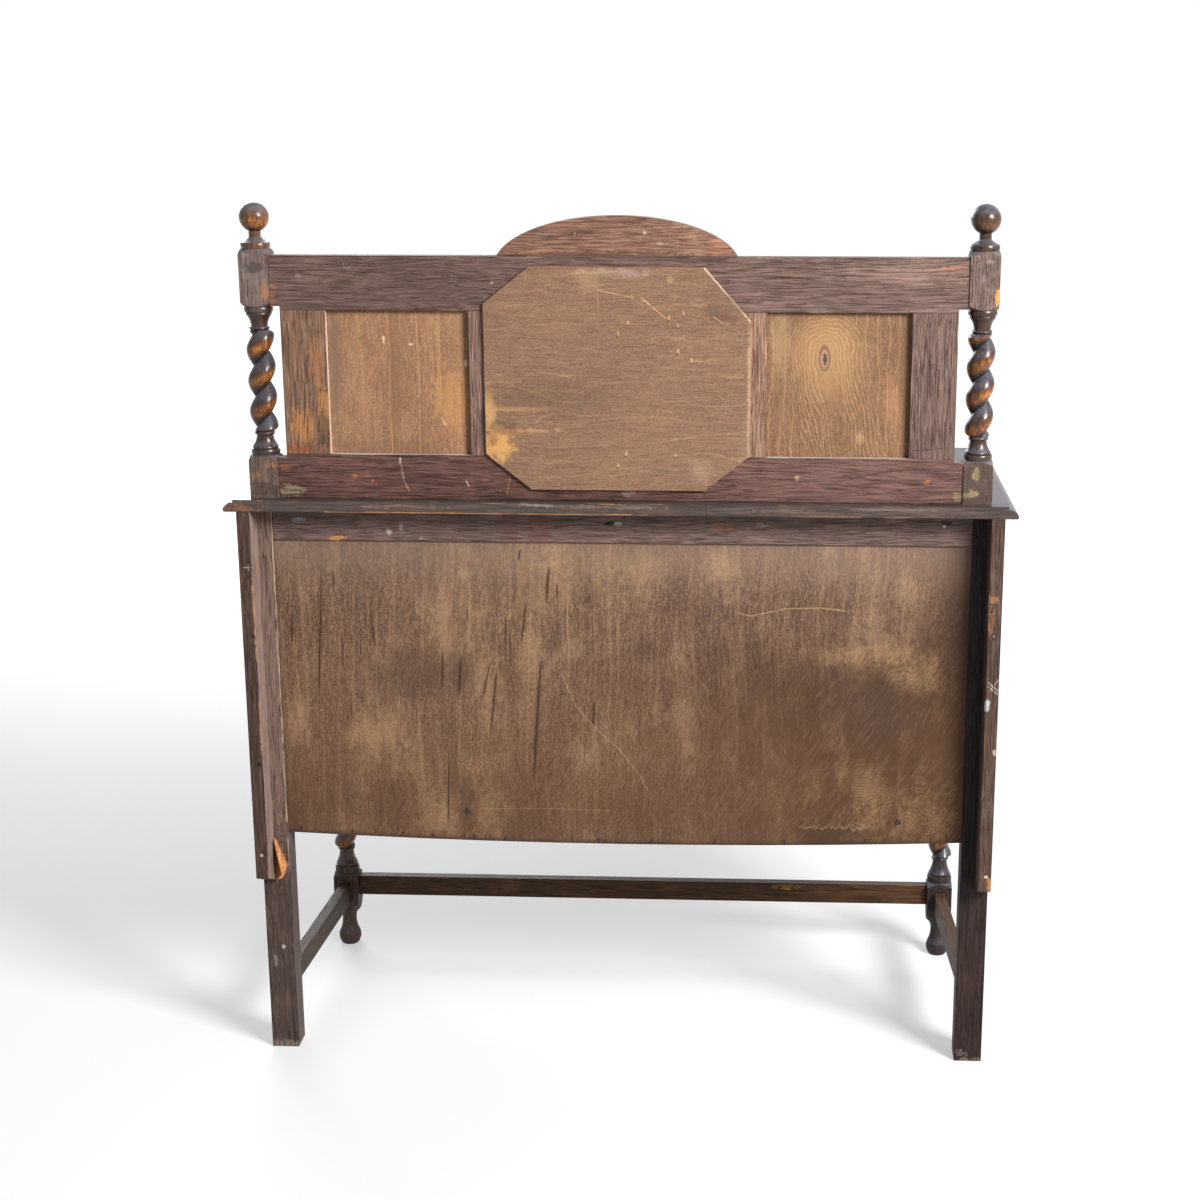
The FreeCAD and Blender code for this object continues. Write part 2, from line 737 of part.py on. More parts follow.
def mirror_backboard():
    """Thin board over the mirror's back, one corner cut deeper, and wedges that hold the glass forward."""
    y = (gallery_back, gallery_back + BACKBOARD_THICK)
    board = octagon(BACKBOARD_GROW, y)
    x = -MIRROR_HALF - BACKBOARD_GROW
    high = mirror_high + BACKBOARD_GROW
    odd_cut = prism_xz([(x, high), (x, high - BACKBOARD_ODD_CUT_Z), (x + BACKBOARD_ODD_CUT_X, high)], y)
    wedge_y = (gallery_front + GLASS_THICK, gallery_back)
    across = (-WEDGE_LONG / 2, WEDGE_LONG / 2)
    middle = (mirror_low + mirror_high) / 2
    upright = (middle - WEDGE_LONG / 2, middle + WEDGE_LONG / 2)
    wedges = [box(across, wedge_y, (mirror_low, mirror_low + WEDGE_TALL))]
    wedges.append(box(across, wedge_y, (mirror_high - WEDGE_TALL, mirror_high)))
    wedges += both_sides([box((MIRROR_HALF - WEDGE_TALL, MIRROR_HALF), wedge_y, upright)])
    return [board.cut(odd_cut)] + wedges


# Doors and hinges


def door():
    x = (door_in, door_out)
    board = eased(box(x, (face, face + DOOR_THICK), (door_low + DOOR_GAP, door_high - DOOR_GAP)))
    cuts = []
    for low in hinge_lows:
        z = (low, low + HINGE_LONG)
        cuts.append(pocket((door_out - LEAF_LET, door_out), (face, face + LEAF_DEEP), z))
    return board.cut(cuts)


def corners(x, z):
    return [(x[0], z[0]), (x[1], z[0]), (x[1], z[1]), (x[0], z[1])]


def mitred_ring(x, z, width, y):
    """Four strips round a rectangle, mitred at the corners."""
    outer = corners(x, z)
    inner = corners(wider(x, -width), wider(z, -width))
    strips = []
    for here in range(4):
        there = (here + 1) % 4
        strips.append(prism_xz([outer[here], outer[there], inner[there], inner[here]], y))
    return strips


def door_mouldings():
    """Stepped and mitred border with a bevelled raised field inside it."""
    x = wider((door_in, door_out), -BORDER)
    z = wider((door_low, door_high), -BORDER)
    base_y = (face - BORDER_BASE, face)
    raised_y = (base_y[0] - BORDER_RAISED, base_y[0])
    raised_width = BORDER_WIDTH - 2 * BORDER_STEP
    base = mitred_ring(x, z, BORDER_WIDTH, base_y)
    raised = mitred_ring(wider(x, -BORDER_STEP), wider(z, -BORDER_STEP), raised_width, raised_y)
    strips = [low.fuse(high) for low, high in zip(base, raised)]
    inset = BORDER_WIDTH + FIELD_INSET
    field = box(wider(x, -inset), (face - FIELD_THICK, face), wider(z, -inset))
    edges = [edge for edge in field.Edges if abs(edge.BoundBox.YMax - face + FIELD_THICK) < FIT]
    return strips + [field.makeChamfer(FIELD_BEVEL, edges)]


def hinge_leaf(low, way, own, other):
    """One leaf of a butt hinge. Way is +1 for the leaf on the post and -1 for the one on the door."""
    near = pin_x + way * LEAF_CLEAR
    far = pin_x + way * (HINGE_GAP / 2 + LEAF_LET)
    x = (min(near, far), max(near, far))
    plate = box(x, (pin_y, face + LEAF_DEEP), (low, low + HINGE_LONG))
    for span in other:
        plate = plate.cut(rod(KNUCKLE_R + KNUCKLE_CLEAR, low + span[0], low + span[1], pin_x, pin_y))
    knuckles = [rod(KNUCKLE_R, low + span[0], low + span[1], pin_x, pin_y) for span in own]
    bore = rod(HINGE_PIN_R + RUN_FIT, low, low + HINGE_LONG, pin_x, pin_y)
    return plate.fuse(knuckles).cut(bore)


def knuckle_spans():
    outer = [(0.0, KNUCKLE_LONG), (HINGE_LONG - KNUCKLE_LONG, HINGE_LONG)]
    inner = [(KNUCKLE_LONG + KNUCKLE_CLEAR, HINGE_LONG - KNUCKLE_LONG - KNUCKLE_CLEAR)]
    return outer, inner


def hinge_pin(low):
    high = low + HINGE_LONG
    shank = rod(HINGE_PIN_R, low - HINGE_PIN_HEAD, high + HINGE_PIN_HEAD, pin_x, pin_y)
    heads = [rod(HINGE_PIN_HEAD_R, low - HINGE_PIN_HEAD, low, pin_x, pin_y)]
    heads.append(rod(HINGE_PIN_HEAD_R, high, high + HINGE_PIN_HEAD, pin_x, pin_y))
    return shank.fuse(heads)


def case_hinges():
    outer, inner = knuckle_spans()
    swept = [wider(span, KNUCKLE_CLEAR) for span in inner]
    solids = []
    for low in hinge_lows:
        solids += [hinge_leaf(low, 1, outer, swept), hinge_pin(low)]
    return both_sides(solids)


def door_hinges():
    outer, inner = knuckle_spans()
    swept = [(outer[0][0], outer[0][1] + KNUCKLE_CLEAR), (outer[1][0] - KNUCKLE_CLEAR, outer[1][1])]
    return [hinge_leaf(low, -1, inner, swept) for low in hinge_lows]


# Drawers


def drawer_front():
    z = wider((drawer_low, drawer_high), -DRAWER_GAP)
    board = box((drawer_in, drawer_out), (face, drawer_back), z)
    edges = [edge for edge in board.Edges if abs(edge.BoundBox.YMax - face) < FIT]
    return board.makeChamfer(DRAWER_BEVEL, edges).cut(drawer_bottom(FIT))


def drawer_bottom(clearance):
    x = wider((drawer_in, drawer_out), DRAWER_GROOVE - DRAWER_SIDE)
    low = drawer_low + RUN_GAP + DRAWER_BOTTOM_RISE
    y = (drawer_back - DRAWER_GROOVE, drawer_end)
    return box(wider(x, clearance), wider(y, clearance), wider((low, low + DRAWER_BOTTOM), clearance))


def drawer_box():
    low = drawer_low + RUN_GAP
    high = low + DRAWER_TALL
    y = (drawer_back, drawer_end)
    groove = drawer_bottom(FIT)
    sides = [box((drawer_in, drawer_in + DRAWER_SIDE), y, (low, high)).cut(groove)]
    sides.append(box((drawer_out - DRAWER_SIDE, drawer_out), y, (low, high)).cut(groove))
    back_low = low + DRAWER_BOTTOM_RISE + DRAWER_BOTTOM
    back_x = wider((drawer_in, drawer_out), -DRAWER_SIDE)
    return sides + [box(back_x, (y[1] - DRAWER_SIDE, y[1]), (back_low, high)), drawer_bottom(0.0)]


# Drop handles


def handle_plate(x, z):
    """Oval plate with two lugs and the pin that the drop hangs from. The pin is at x and z."""
    centre = Vector(x, face, z - PLATE_RISE)
    oval = Part.Ellipse(centre, PLATE_HALF_TALL, PLATE_HALF_WIDE).toShape()
    oval.rotate(centre, Vector(0, 0, 1), 90)
    oval.rotate(centre, Vector(1, 0, 0), 90)
    plate = Part.Face(Part.Wire([oval])).extrude(Vector(0, -PLATE_THICK, 0))
    axis_y = face - HANDLE_PIN_OUT
    lugs = []
    for near, far in ((LUG_GAP / 2, LUG_GAP / 2 + LUG_THICK), (-LUG_GAP / 2 - LUG_THICK, -LUG_GAP / 2)):
        span = (x + near, x + far)
        lugs.append(box(span, (axis_y, face - PLATE_THICK / 2), (z - LUG_R, z + LUG_R)))
        lugs.append(cross_rod(LUG_R, span, axis_y, z))
    reach = LUG_GAP / 2 + LUG_THICK
    pin = cross_rod(HANDLE_PIN_R, (x - reach, x + reach), axis_y, z)
    return plate.fuse(lugs + [pin])


def handle_drop(x, z):
    half = LUG_GAP / 2 - EYE_CLEAR
    axis_y = face - HANDLE_PIN_OUT
    eye = cross_rod(LUG_R, (x - half, x + half), axis_y, z)
    pear = lathe(
        [
            (DROP_TIP_R, -DROP_LONG),
            (DROP_R, -DROP_BELLY),
            (DROP_NECK_R, -DROP_COLLAR),
            (DROP_NECK_R, 0.0),
        ]
    )
    pear.translate(Vector(x, axis_y, z))
    bore = cross_rod(HANDLE_PIN_R + RUN_FIT, (x - half, x + half), axis_y, z)
    return eye.fuse(pear).cut(bore)


def drawer_handle_places():
    z = (drawer_low + drawer_high) / 2 + PLATE_RISE
    return [(drawer_in + DRAWER_HANDLE_INSET, z), (drawer_out - DRAWER_HANDLE_INSET, z)]


def door_handle_place():
    return door_in + DOOR_HANDLE_INSET, (door_low + door_high) / 2 + PLATE_RISE


# Every piece by name; those listed as pairs have a left and a right one


def pair(name, shape):
    return {name + "_right": shape, name + "_left": mirrored_set(shape)}


def mirrored_set(shape):
    return [mirrored(solid) for solid in shape] if isinstance(shape, list) else mirrored(shape)


def base_pieces():
    pieces = {
        "front_leg_right": front_leg(1, LEG_TWIST_RIGHT),
        "front_leg_left": front_leg(-1, LEG_TWIST_LEFT),
        "stretcher_front": tenoned_bar(post_in, FRONT_STRETCHER_Y, FRONT_STRETCHER_Z),
    }
    pieces.update(pair("rear_leg", rear_leg()))
    pieces.update(pair("stretcher_side", side_stretcher()))
    pieces.update(pair("wall_strip", wall_strip()))
    return pieces


def case_pieces():
    pieces = {
        "case_floor": case_floor(),
        "back_panel": back_panel(),
        "back_rail": back_rail(),
        "front_top_rail": tenoned_bar(post_in, FRONT_RAIL_Y, FRONT_TOP_RAIL_Z),
        "front_middle_rail": tenoned_bar(post_in, FRONT_RAIL_Y, FRONT_MID_RAIL_Z),
        "front_bottom_rail": tenoned_bar(post_in, FRONT_RAIL_Y, FRONT_LOW_RAIL_Z),
        "partition": partition(),
        "drawer_runners": drawer_runners(),
        "shelf_cleats": shelf_cleats(),
        "case_hinges": case_hinges(),
        "top_board": top_board(),
    }
    pieces.update(pair("side_board", side_board()))
    pieces.update(pair("shelf", shelf()))
    return pieces


def gallery_pieces():
    top_notch = (gallery_open_high, gallery_open_high + RAIL_NOTCH)
    low_notch = (gallery_open_low - RAIL_NOTCH, gallery_open_low)
    pieces = {
        "gallery_post_right": gallery_post(1, TOP_HEIGHT + POST_TWIST_RIGHT),
        "gallery_post_left": gallery_post(-1, TOP_HEIGHT + POST_TWIST_LEFT),
        "gallery_top_rail": gallery_rail(GALLERY_TOP_RAIL_Z, top_notch),
        "gallery_bottom_rail": gallery_rail(GALLERY_LOW_RAIL_Z, low_notch),
        "crest_board": crest_board(),
        "mirror_glass": mirror_glass(),
        "mirror_frame": mirror_frame(),
        "mirror_backboard": mirror_backboard(),
    }
    pieces.update(pair("finial", finial()))
    pieces.update(pair("gallery_stile", gallery_upright((stile_in, stile_out), stile_stub(0.0))))
    pieces.update(pair("gallery_muntin", gallery_upright((muntin_in, muntin_out), muntin_stub(0.0))))
    pieces.update(pair("gallery_panel", gallery_panel()))
    return pieces


def front_pieces():
    inner, outer = drawer_handle_places()
    door_place = door_handle_place()
    pieces = {}
    pieces.update(pair("door", door()))
    pieces.update(pair("door_mouldings", door_mouldings()))
    pieces.update(pair("door_hinges", door_hinges()))
    pieces.update(pair("door_handle_plate", handle_plate(*door_place)))
    pieces.update(pair("door_handle_drop", handle_drop(*door_place)))
    pieces.update(pair("drawer_front", drawer_front()))
    pieces.update(pair("drawer_box", drawer_box()))
    pieces.update(pair("drawer_handle_plates", [handle_plate(*inner), handle_plate(*outer)]))
    pieces.update(pair("drawer_inner_drop", handle_drop(*inner)))
    pieces.update(pair("drawer_outer_drop", handle_drop(*outer)))
    return pieces


os.makedirs("parts", exist_ok=True)
for pieces in (base_pieces(), case_pieces(), gallery_pieces(), front_pieces()):
    for name, piece in pieces.items():
        shape = Part.makeCompound(piece) if isinstance(piece, list) else piece
        shape.exportStep(os.path.join("parts", name + ".step"))
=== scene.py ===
"""Looks of the oak buffet cabinet, seen from its back, on a pale floor in soft light."""

import math

import bmesh
import bpy
from mathutils import Matrix, Vector


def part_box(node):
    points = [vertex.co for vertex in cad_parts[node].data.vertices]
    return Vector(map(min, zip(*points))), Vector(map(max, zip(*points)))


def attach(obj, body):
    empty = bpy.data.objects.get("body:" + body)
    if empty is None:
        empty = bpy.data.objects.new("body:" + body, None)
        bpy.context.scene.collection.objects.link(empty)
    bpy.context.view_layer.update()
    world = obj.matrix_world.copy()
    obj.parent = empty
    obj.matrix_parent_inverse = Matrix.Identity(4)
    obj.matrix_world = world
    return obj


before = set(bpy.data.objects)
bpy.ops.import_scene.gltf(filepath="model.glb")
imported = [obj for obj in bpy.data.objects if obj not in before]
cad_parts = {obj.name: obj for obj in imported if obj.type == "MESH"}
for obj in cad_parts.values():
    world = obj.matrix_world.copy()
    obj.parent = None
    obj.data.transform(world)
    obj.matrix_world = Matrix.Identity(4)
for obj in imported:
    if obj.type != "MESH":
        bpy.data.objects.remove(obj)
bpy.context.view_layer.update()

# Rear legs: two square oak posts, sawn and stained dark, that run from the floor up to the top.
# The wall side was left rough, and the arrises and the end grain at the floor have worn pale.


class Tone:
    """One value inside a finish. Sums on it add Math nodes, and node() adds any other kind of node."""

    def __init__(self, tree, socket=None):
        self.tree = tree
        self.socket = socket

    def node(self, kind, settings=None, sockets=None, out=0):
        made = self.tree.nodes.new("ShaderNode" + kind)
        for name, value in (settings or {}).items():
            setattr(made, name, value)
        for name, value in (sockets or {}).items():
            if isinstance(name, int):
                socket = made.inputs[name]
            else:
                socket = next(s for s in made.inputs if name in (s.identifier, s.name))
            if isinstance(value, Tone):
                self.tree.links.new(value.socket, socket)
            else:
                socket.default_value = value
        return Tone(self.tree, made.outputs[out])

    def sum(self, operation, *values):
        return self.node("Math", {"operation": operation}, dict(enumerate(values)))

    def __add__(self, other):
        return self.sum("ADD", self, other)

    def __sub__(self, other):
        return self.sum("SUBTRACT", self, other)

    def __rsub__(self, other):
        return self.sum("SUBTRACT", other, self)

    def __mul__(self, other):
        return self.sum("MULTIPLY", self, other)

    __radd__ = __add__
    __rmul__ = __mul__

    def __abs__(self):
        return self.sum("ABSOLUTE", self)

    def part(self):
        return self.sum("FRACT", self)

    def least(self, other):
        return self.sum("MINIMUM", self, other)

    def most(self, other):
        return self.sum("MAXIMUM", self, other)

    def rise(self, low, high):
        """0 at low and 1 at high, smooth between them. Low may be the larger."""
        limits = {"Value": self, "From Min": low, "From Max": high}
        return self.node("MapRange", {"interpolation_type": "SMOOTHSTEP"}, limits)

    def mix(self, under, over):
        """The colour under where this value is 0, and over where it is 1."""
        colours = {"Factor_Float": self, "A_Color": under, "B_Color": over}
        return self.node("Mix", {"data_type": "RGBA"}, colours, 2)

    def vector(self, operation, *values, out=0):
        return self.node("VectorMath", {"operation": operation}, dict(enumerate((self,) + values)), out)

    def axes(self):
        split = self.node("SeparateXYZ", None, {0: self})
        return [Tone(self.tree, output) for output in split.socket.node.outputs]

    def noise(self, scale, detail=3.0, rough=0.55, out=0):
        wanted = {"Vector": self, "Scale": scale, "Detail": detail, "Roughness": rough}
        return self.node("TexNoise", None, wanted, out)

    def moved(self, shift, scale=(1.0, 1.0, 1.0), turn=(0.0, 0.0, 0.0)):
        wanted = {"Vector": self, "Location": shift, "Rotation": turn, "Scale": scale}
        return self.node("Mapping", None, wanted)


def stain(code):
    """Linear colour from a six-figure colour code."""
    parts = [int(code[i:i + 2], 16) / 255 for i in (0, 2, 4)]
    return tuple(c / 12.92 if c <= 0.04045 else ((c + 0.055) / 1.055) ** 2.4 for c in parts) + (1.0,)


def finish(name):
    """A new material, its shader, and the place of a point on the piece in metres."""
    material = bpy.data.materials.new(name)
    material.use_nodes = True
    shader = material.node_tree.nodes["Principled BSDF"]
    return material, shader, Tone(material.node_tree).node("TexCoord", out="Object")


def coat(shader, **sockets):
    """Colour, gloss and bump of a finish. Names are the shader's own, with _ for a space."""
    for name, value in sockets.items():
        socket = shader.inputs[name.replace("_", " ")]
        if isinstance(value, Tone):
            value.tree.links.new(value.socket, socket)
        else:
            socket.default_value = value


def relief(height, depth):
    return height.node("Bump", None, {"Height": height, "Distance": depth, "Strength": 1.0})


def facing(place):
    """Which way the surface looks, as its x, y and z parts."""
    return place.node("NewGeometry", out="Normal").axes()


def blot(x, y, z, wide, tall, tone, strength=1.0, ragged=1.0, soft=0.6):
    """A stain, worn spot, painted shade or painted highlight on the face at y. Sizes are half its width and height."""
    frayed = ragged * (2.4 if min(wide, tall) > 0.006 else 5.5)

    def laid(place, waver, grain):
        away = place.vector("SUBTRACT", (x, y, z)).vector("DIVIDE", (wide, 0.004, tall))
        away = away.vector("LENGTH", out=1) + waver * frayed
        return away.rise(1.0 + soft / 2, 1.0 - soft / 2) * (grain * strength), tone

    return laid


def reach(place, y, points):
    """Distance from a line on the face at y, through points given as x and z."""
    spots = [Vector((x, y, z)) for x, z in points]
    nearest = None
    for start, end in zip(spots, spots[1:]):
        along = end - start
        from_start = place.vector("SUBTRACT", start)
        share = from_start.vector("DOT_PRODUCT", along / along.length_squared, out=1).most(0.0).least(1.0)
        on_line = place.node("CombineXYZ", None, {0: share, 1: share, 2: share}).vector("MULTIPLY", along)
        away = from_start.vector("SUBTRACT", on_line).vector("LENGTH", out=1)
        nearest = away if nearest is None else nearest.least(away)
    return nearest


def score(y, points, width, tone, strength=1.0):
    """A scratch on the face at y, broken where the surface wavers."""

    def laid(place, waver, grain):
        away = reach(place, y, points) + waver * (width * 3.0)
        return away.rise(width, width * 0.35) * (grain * strength), tone

    return laid


def marks_on(y, *rows):
    """Marks on the face at y. A row that starts with a list of points is a score, any other is a blot."""
    return [score(y, *row) if isinstance(row[0], list) else blot(row[0], y, *row[1:]) for row in rows]


def crack(y, x, z, end_x, end_z, width, tone, strength=1.0):
    """A split along upright grain on the face at y, widest in the middle."""
    tall = abs(end_z - z) / 2
    lean = (end_x - x) / (end_z - z)

    def laid(place, waver, grain):
        from_middle = place.vector("SUBTRACT", ((x + end_x) / 2, y, (z + end_z) / 2))
        across = from_middle.vector("DOT_PRODUCT", (1 / width, 0.0, -lean / width), out=1) + waver * 2.0
        along = from_middle.vector("DOT_PRODUCT", (0.0, 0.0, 1 / tall), out=1)
        return (across * across + along * along).rise(1.1, 0.5) * strength, tone

    return laid


def marked(place, colour, grain, marks):
    """The colour with each mark laid over it. Grain is how well the wood takes a stain at each point."""
    waver = place.noise(90.0, 8.0, 0.72) - 0.5
    for mark in marks:
        mask, tone = mark(place, waver, grain)
        colour = mask.mix(colour, stain(tone))
    return colour


def arris(place, low, high, width):
    """1 along the edges of a square-sawn piece, fading over the width."""
    above_low = place.vector("SUBTRACT", low)
    near = place.vector("MULTIPLY", (-1.0, -1.0, -1.0)).vector("ADD", high).vector("MINIMUM", above_low)
    x, y, z = near.axes()
    second = x.least(y).most(x.most(y).least(z))
    return second.rise(width, 0.0)


def flecks(place, shift, size, share):
    """Small scattered spots: one in some of the cells of a grid with the given size."""
    waved = place.vector("ADD", place.noise(900.0, 2.0, out=1).vector("MULTIPLY", (0.0016, 0.0016, 0.0016)))
    cells = place.node("TexVoronoi", None, {"Vector": waved.moved(shift), "Scale": 1.0 / size}, "Distance")
    chance = Tone(place.tree, cells.socket.node.outputs["Color"]).axes()[0]
    return cells.rise(0.10, 0.05) * chance.rise(1.0 - share, 1.0 - share * 0.9)


LONG = {"x": (0.028, 1.0, 1.0), "y": (1.0, 0.028, 1.0), "z": (1.0, 1.0, 0.028)}
DASH = {"x": (0.07, 1.0, 1.0), "y": (1.0, 0.07, 1.0), "z": (1.0, 1.0, 0.07)}


def oak(name, box, along, tones, seed, marks=(), rough=0.55, wear=0.7, dust=0.5, polish=0.0, mitre=0.0):
    """Stained oak board. Tones are dark, middle, light and worn; marks are blots and scores on it."""
    material, shader, place = finish(name)
    dark, middle, light, worn = [stain(code) for code in tones]
    deep = tuple(part * 0.45 for part in dark[:3]) + (1.0,)
    shift = (seed * 1.37, seed * 0.71, seed * 2.13)
    sway = place.moved(shift).noise(5.0, 2.0, out=1).vector("MULTIPLY", (0.014, 0.014, 0.014))
    still = place.vector("ADD", sway)
    if mitre:
        centre = (box[0] + box[1]) / 2
        half = box[1] - centre
        x, _, z = place.axes()
        from_side = half.x - abs(x - centre.x)
        from_end = half.z - abs(z - centre.z)
        upright = (from_end - from_side).rise(-0.0005, 0.0005) * from_side.rise(mitre + 0.0005, mitre - 0.0005)
        still_x, still_y, still_z = still.axes()
        still = upright.mix(still, place.node("CombineXYZ", None, {0: still_z, 1: still_y, 2: still_x}))
    fibre = still.moved(shift, LONG[along]).noise(520.0, 4.0, 0.62)
    pores = still.moved(shift, LONG[along]).noise(760.0, 3.0, 0.6).rise(0.53, 0.62)
    ring = still.moved(shift, LONG[along]).noise(430.0, 4.0, 0.66)
    cloud = place.moved(shift).noise(9.0, 9.0, 0.72)
    colour = fibre.rise(0.3, 0.7).mix(dark, middle)
    colour = (ring.rise(0.46, 0.68) * 0.36).mix(colour, light)
    colour = (ring.rise(0.46, 0.30) * 0.40).mix(colour, dark)
    colour = (cloud.rise(0.5, 0.72) * 0.45).mix(colour, dark)
    colour = (cloud.rise(0.48, 0.28) * 0.45).mix(colour, light)
    colour = (pores * (0.6 - 0.5 * polish)).mix(colour, deep)
    scuff = place.moved(shift, DASH[along]).noise(130.0, 6.0, 0.72)
    # Every arris is darkened: painted shade of the gaps between parts, and dirt in the joints.
    colour = (arris(place, box[0], box[1], 0.0026) * 0.75).mix(colour, deep)
    chip = arris(place, box[0], box[1], 0.0034) * scuff.rise(0.55, 0.63) * wear
    colour = chip.mix(colour, worn)
    spots = flecks(place, shift, 0.017, 0.28)
    colour = (spots * 0.7).mix(colour, light)
    colour = marked(place, colour, fibre.rise(0.33, 0.55), marks)
    settled = facing(place)[2].rise(0.6, 0.95) * cloud.rise(0.25, 0.55) * dust
    colour = settled.mix(colour, stain("a59c91"))
    height = fibre * 0.5 - pores * 0.9 - chip * 0.7 + spots * 0.4
    coat(
        shader,
        Base_Color=colour,
        Roughness=rough + (fibre - 0.5) * 0.3 + settled * 0.3,
        Specular_IOR_Level=0.18,
        Coat_Weight=polish,
        Coat_Roughness=0.12,
        Normal=relief(height, 0.0007 - 0.0005 * polish),
    )
    return material


def dress(material, *names):
    for name in names:
        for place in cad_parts[name].material_slots:
            place.material = material


# The left leg's tones are a darker copy of the right's: painted shade.
LEG_OAK_AND_SHADE = {"right": ("392c27", "5c4b44", "746055", "a8917f"), "left": ("1f1513", "382824", "47342e", "7b6456")}
leg_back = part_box("rear_leg_right")[1].y
LEG_MARKS = {
    "right": marks_on(
        leg_back,
        (0.562, 0.1806, 0.003, 0.003, "b8a898"),
        (0.575, 0.155, 0.004, 0.010, "8f857c", 0.7),
        (0.566, 0.004, 0.030, 0.008, "978779", 0.6, 1.6),
        (0.557, 0.68, 0.022, 0.34, "8d7466", 0.75, 0.6, 0.5),
        ([(0.5456, 0.91), (0.5456, 0.66), (0.5456, 0.40)], 0.0018, "b59c82", 0.8),
    ),
    "left": marks_on(
        leg_back,
        # Painted shadow of the wall strip, near black, on the leg's back face beside it.
        (-0.555, 0.62, 0.016, 0.33, "100b0a", 0.9, 0.25, 0.3),
        (-0.556, 0.014, 0.010, 0.004, "7d6f66", 0.6, 1.8),
        (-0.566, 0.0, 0.030, 0.004, "978779", 0.5, 1.6),
    ),
}
for seed, side in enumerate(("right", "left")):
    leg = "rear_leg_" + side
    dress(oak("sawn_oak_" + leg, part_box(leg), "z", LEG_OAK_AND_SHADE[side], 3.1 + seed, LEG_MARKS[side]), leg)

# Front legs: oak turned below the case into a vase, a twist and a peg foot, polished dark.
# Hands and dusters have worn the strand of the twist back to golden wood, and dust lies in its groove.


def turned_oak(name, axis, low, high, tones, seed, marks=(), gold=1.0):
    """Polished turned oak. Between low and high it is a twist or a ball about an upright axis."""
    material, shader, place = finish(name)
    dark, middle, light, worn, deep, polish = [stain(code) for code in tones]
    shift = (seed * 1.1, seed * 0.6, seed * 1.9)
    fibre = place.moved(shift, LONG["z"]).noise(420.0, 6.0, 0.66)
    pores = place.moved(shift, DASH["z"]).noise(700.0, 2.0, 0.5).rise(0.53, 0.66)
    out_x, out_y, level = place.vector("SUBTRACT", (axis[0], axis[1], 0.0)).axes()
    away = place.sum("SQRT", out_x * out_x + out_y * out_y)
    twist = level.rise(low, low + 0.004) * level.rise(high, high - 0.004)
    round_part = level.rise(low - 0.038, low - 0.035) * level.rise(high + 0.038, high + 0.035)
    up = facing(place)[2]
    cloud = place.moved(shift).noise(70.0, 6.0, 0.7)
    sawn = fibre.rise(0.3, 0.7).mix(dark, middle)
    sawn = (cloud.rise(0.5, 0.72) * 0.5).mix(sawn, light)
    sawn = (cloud.rise(0.48, 0.30) * 0.5).mix(sawn, dark)
    sawn = (pores * 0.6).mix(sawn, stain("241a16"))
    sawn = (flecks(place, shift, 0.012, 0.3) * 0.7).mix(sawn, worn)
    polished = fibre.rise(0.3, 0.72).mix(deep, polish)
    strand = away.rise(0.0150, 0.0200) * twist
    bare = strand * up.rise(0.35, -0.30) * (fibre * 0.5 + cloud * 0.5).rise(0.34, 0.62)
    polished = (bare * gold).mix(polished, stain("8f5219"))
    bright = strand * up.rise(0.15, -0.25) * (fibre * 0.6 + cloud * 0.5).rise(0.56, 0.68)
    polished = (bright * (gold * 0.8)).mix(polished, stain("c47c2a"))
    groove = away.rise(0.0165, 0.0125) * twist
    polished = (groove * 0.8).mix(polished, stain("1f140e"))
    colour = round_part.mix(sawn, (pores * 0.3).mix(polished, stain("1f140e")))
    colour = marked(place, colour, fibre.rise(0.33, 0.55), marks)
    # Dust, and a painted reflection of the sky: a bluish grey on the up-facing surfaces.
    dust = up.rise(0.12, 0.75) * cloud.rise(0.25, 0.6) * 0.5
    colour = dust.mix(colour, stain("69717f"))
    coat(
        shader,
        Base_Color=colour,
        Roughness=0.2 + dust * 0.4 + groove * 0.2 + (1 - round_part) * 0.32 + (cloud - 0.5) * 0.15,
        Specular_IOR_Level=0.24,
        Coat_Weight=round_part * 0.2,
        Coat_Roughness=0.2,
        Normal=relief(fibre * 0.4 - pores * (1 - round_part * 0.7), 0.0004),
    )
    return material


# The left leg's tones are a darker copy of the right's: painted shade.
LEG_TURNED_AND_SHADE = {"right": ("392b24", "5b483e", "705b4f", "93795f", "38261b", "684932"),
              "left": ("211815", "352a26", "423530", "6a5a50", "1c1310", "392820")}


def above(z, tone, strength):
    """Stain on the square length above a height. The rest of the strength follows the grain."""

    def laid(place, waver, grain):
        return place.axes()[2].rise(z - 0.002, z + 0.002) * (grain * (1.0 - strength) + strength), tone

    return laid


CASE_FOOT = 0.374
CASE_CORNER = [above(CASE_FOOT, "382619", 1.0), above(CASE_FOOT, "634632", 0.2)]
LEG_TWIST = (0.190, 0.329)
for seed, side in enumerate(("right", "left")):
    low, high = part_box("front_leg_" + side)
    axis = ((low.x + high.x) / 2, (low.y + high.y) / 2)
    leg = turned_oak("turned_leg_oak_" + side, axis, *LEG_TWIST, LEG_TURNED_AND_SHADE[side], 5.3 + seed, CASE_CORNER)
    dress(leg, "front_leg_" + side)

# Stretchers: thin oak bars tenoned between the legs, one across the front and one along each side.
# They are stained as dark as the legs, and one spot on the front one is rubbed to paler wood.
STRETCHER_OAK = ("30200f", "5a3d28", "714d33", "966c44")
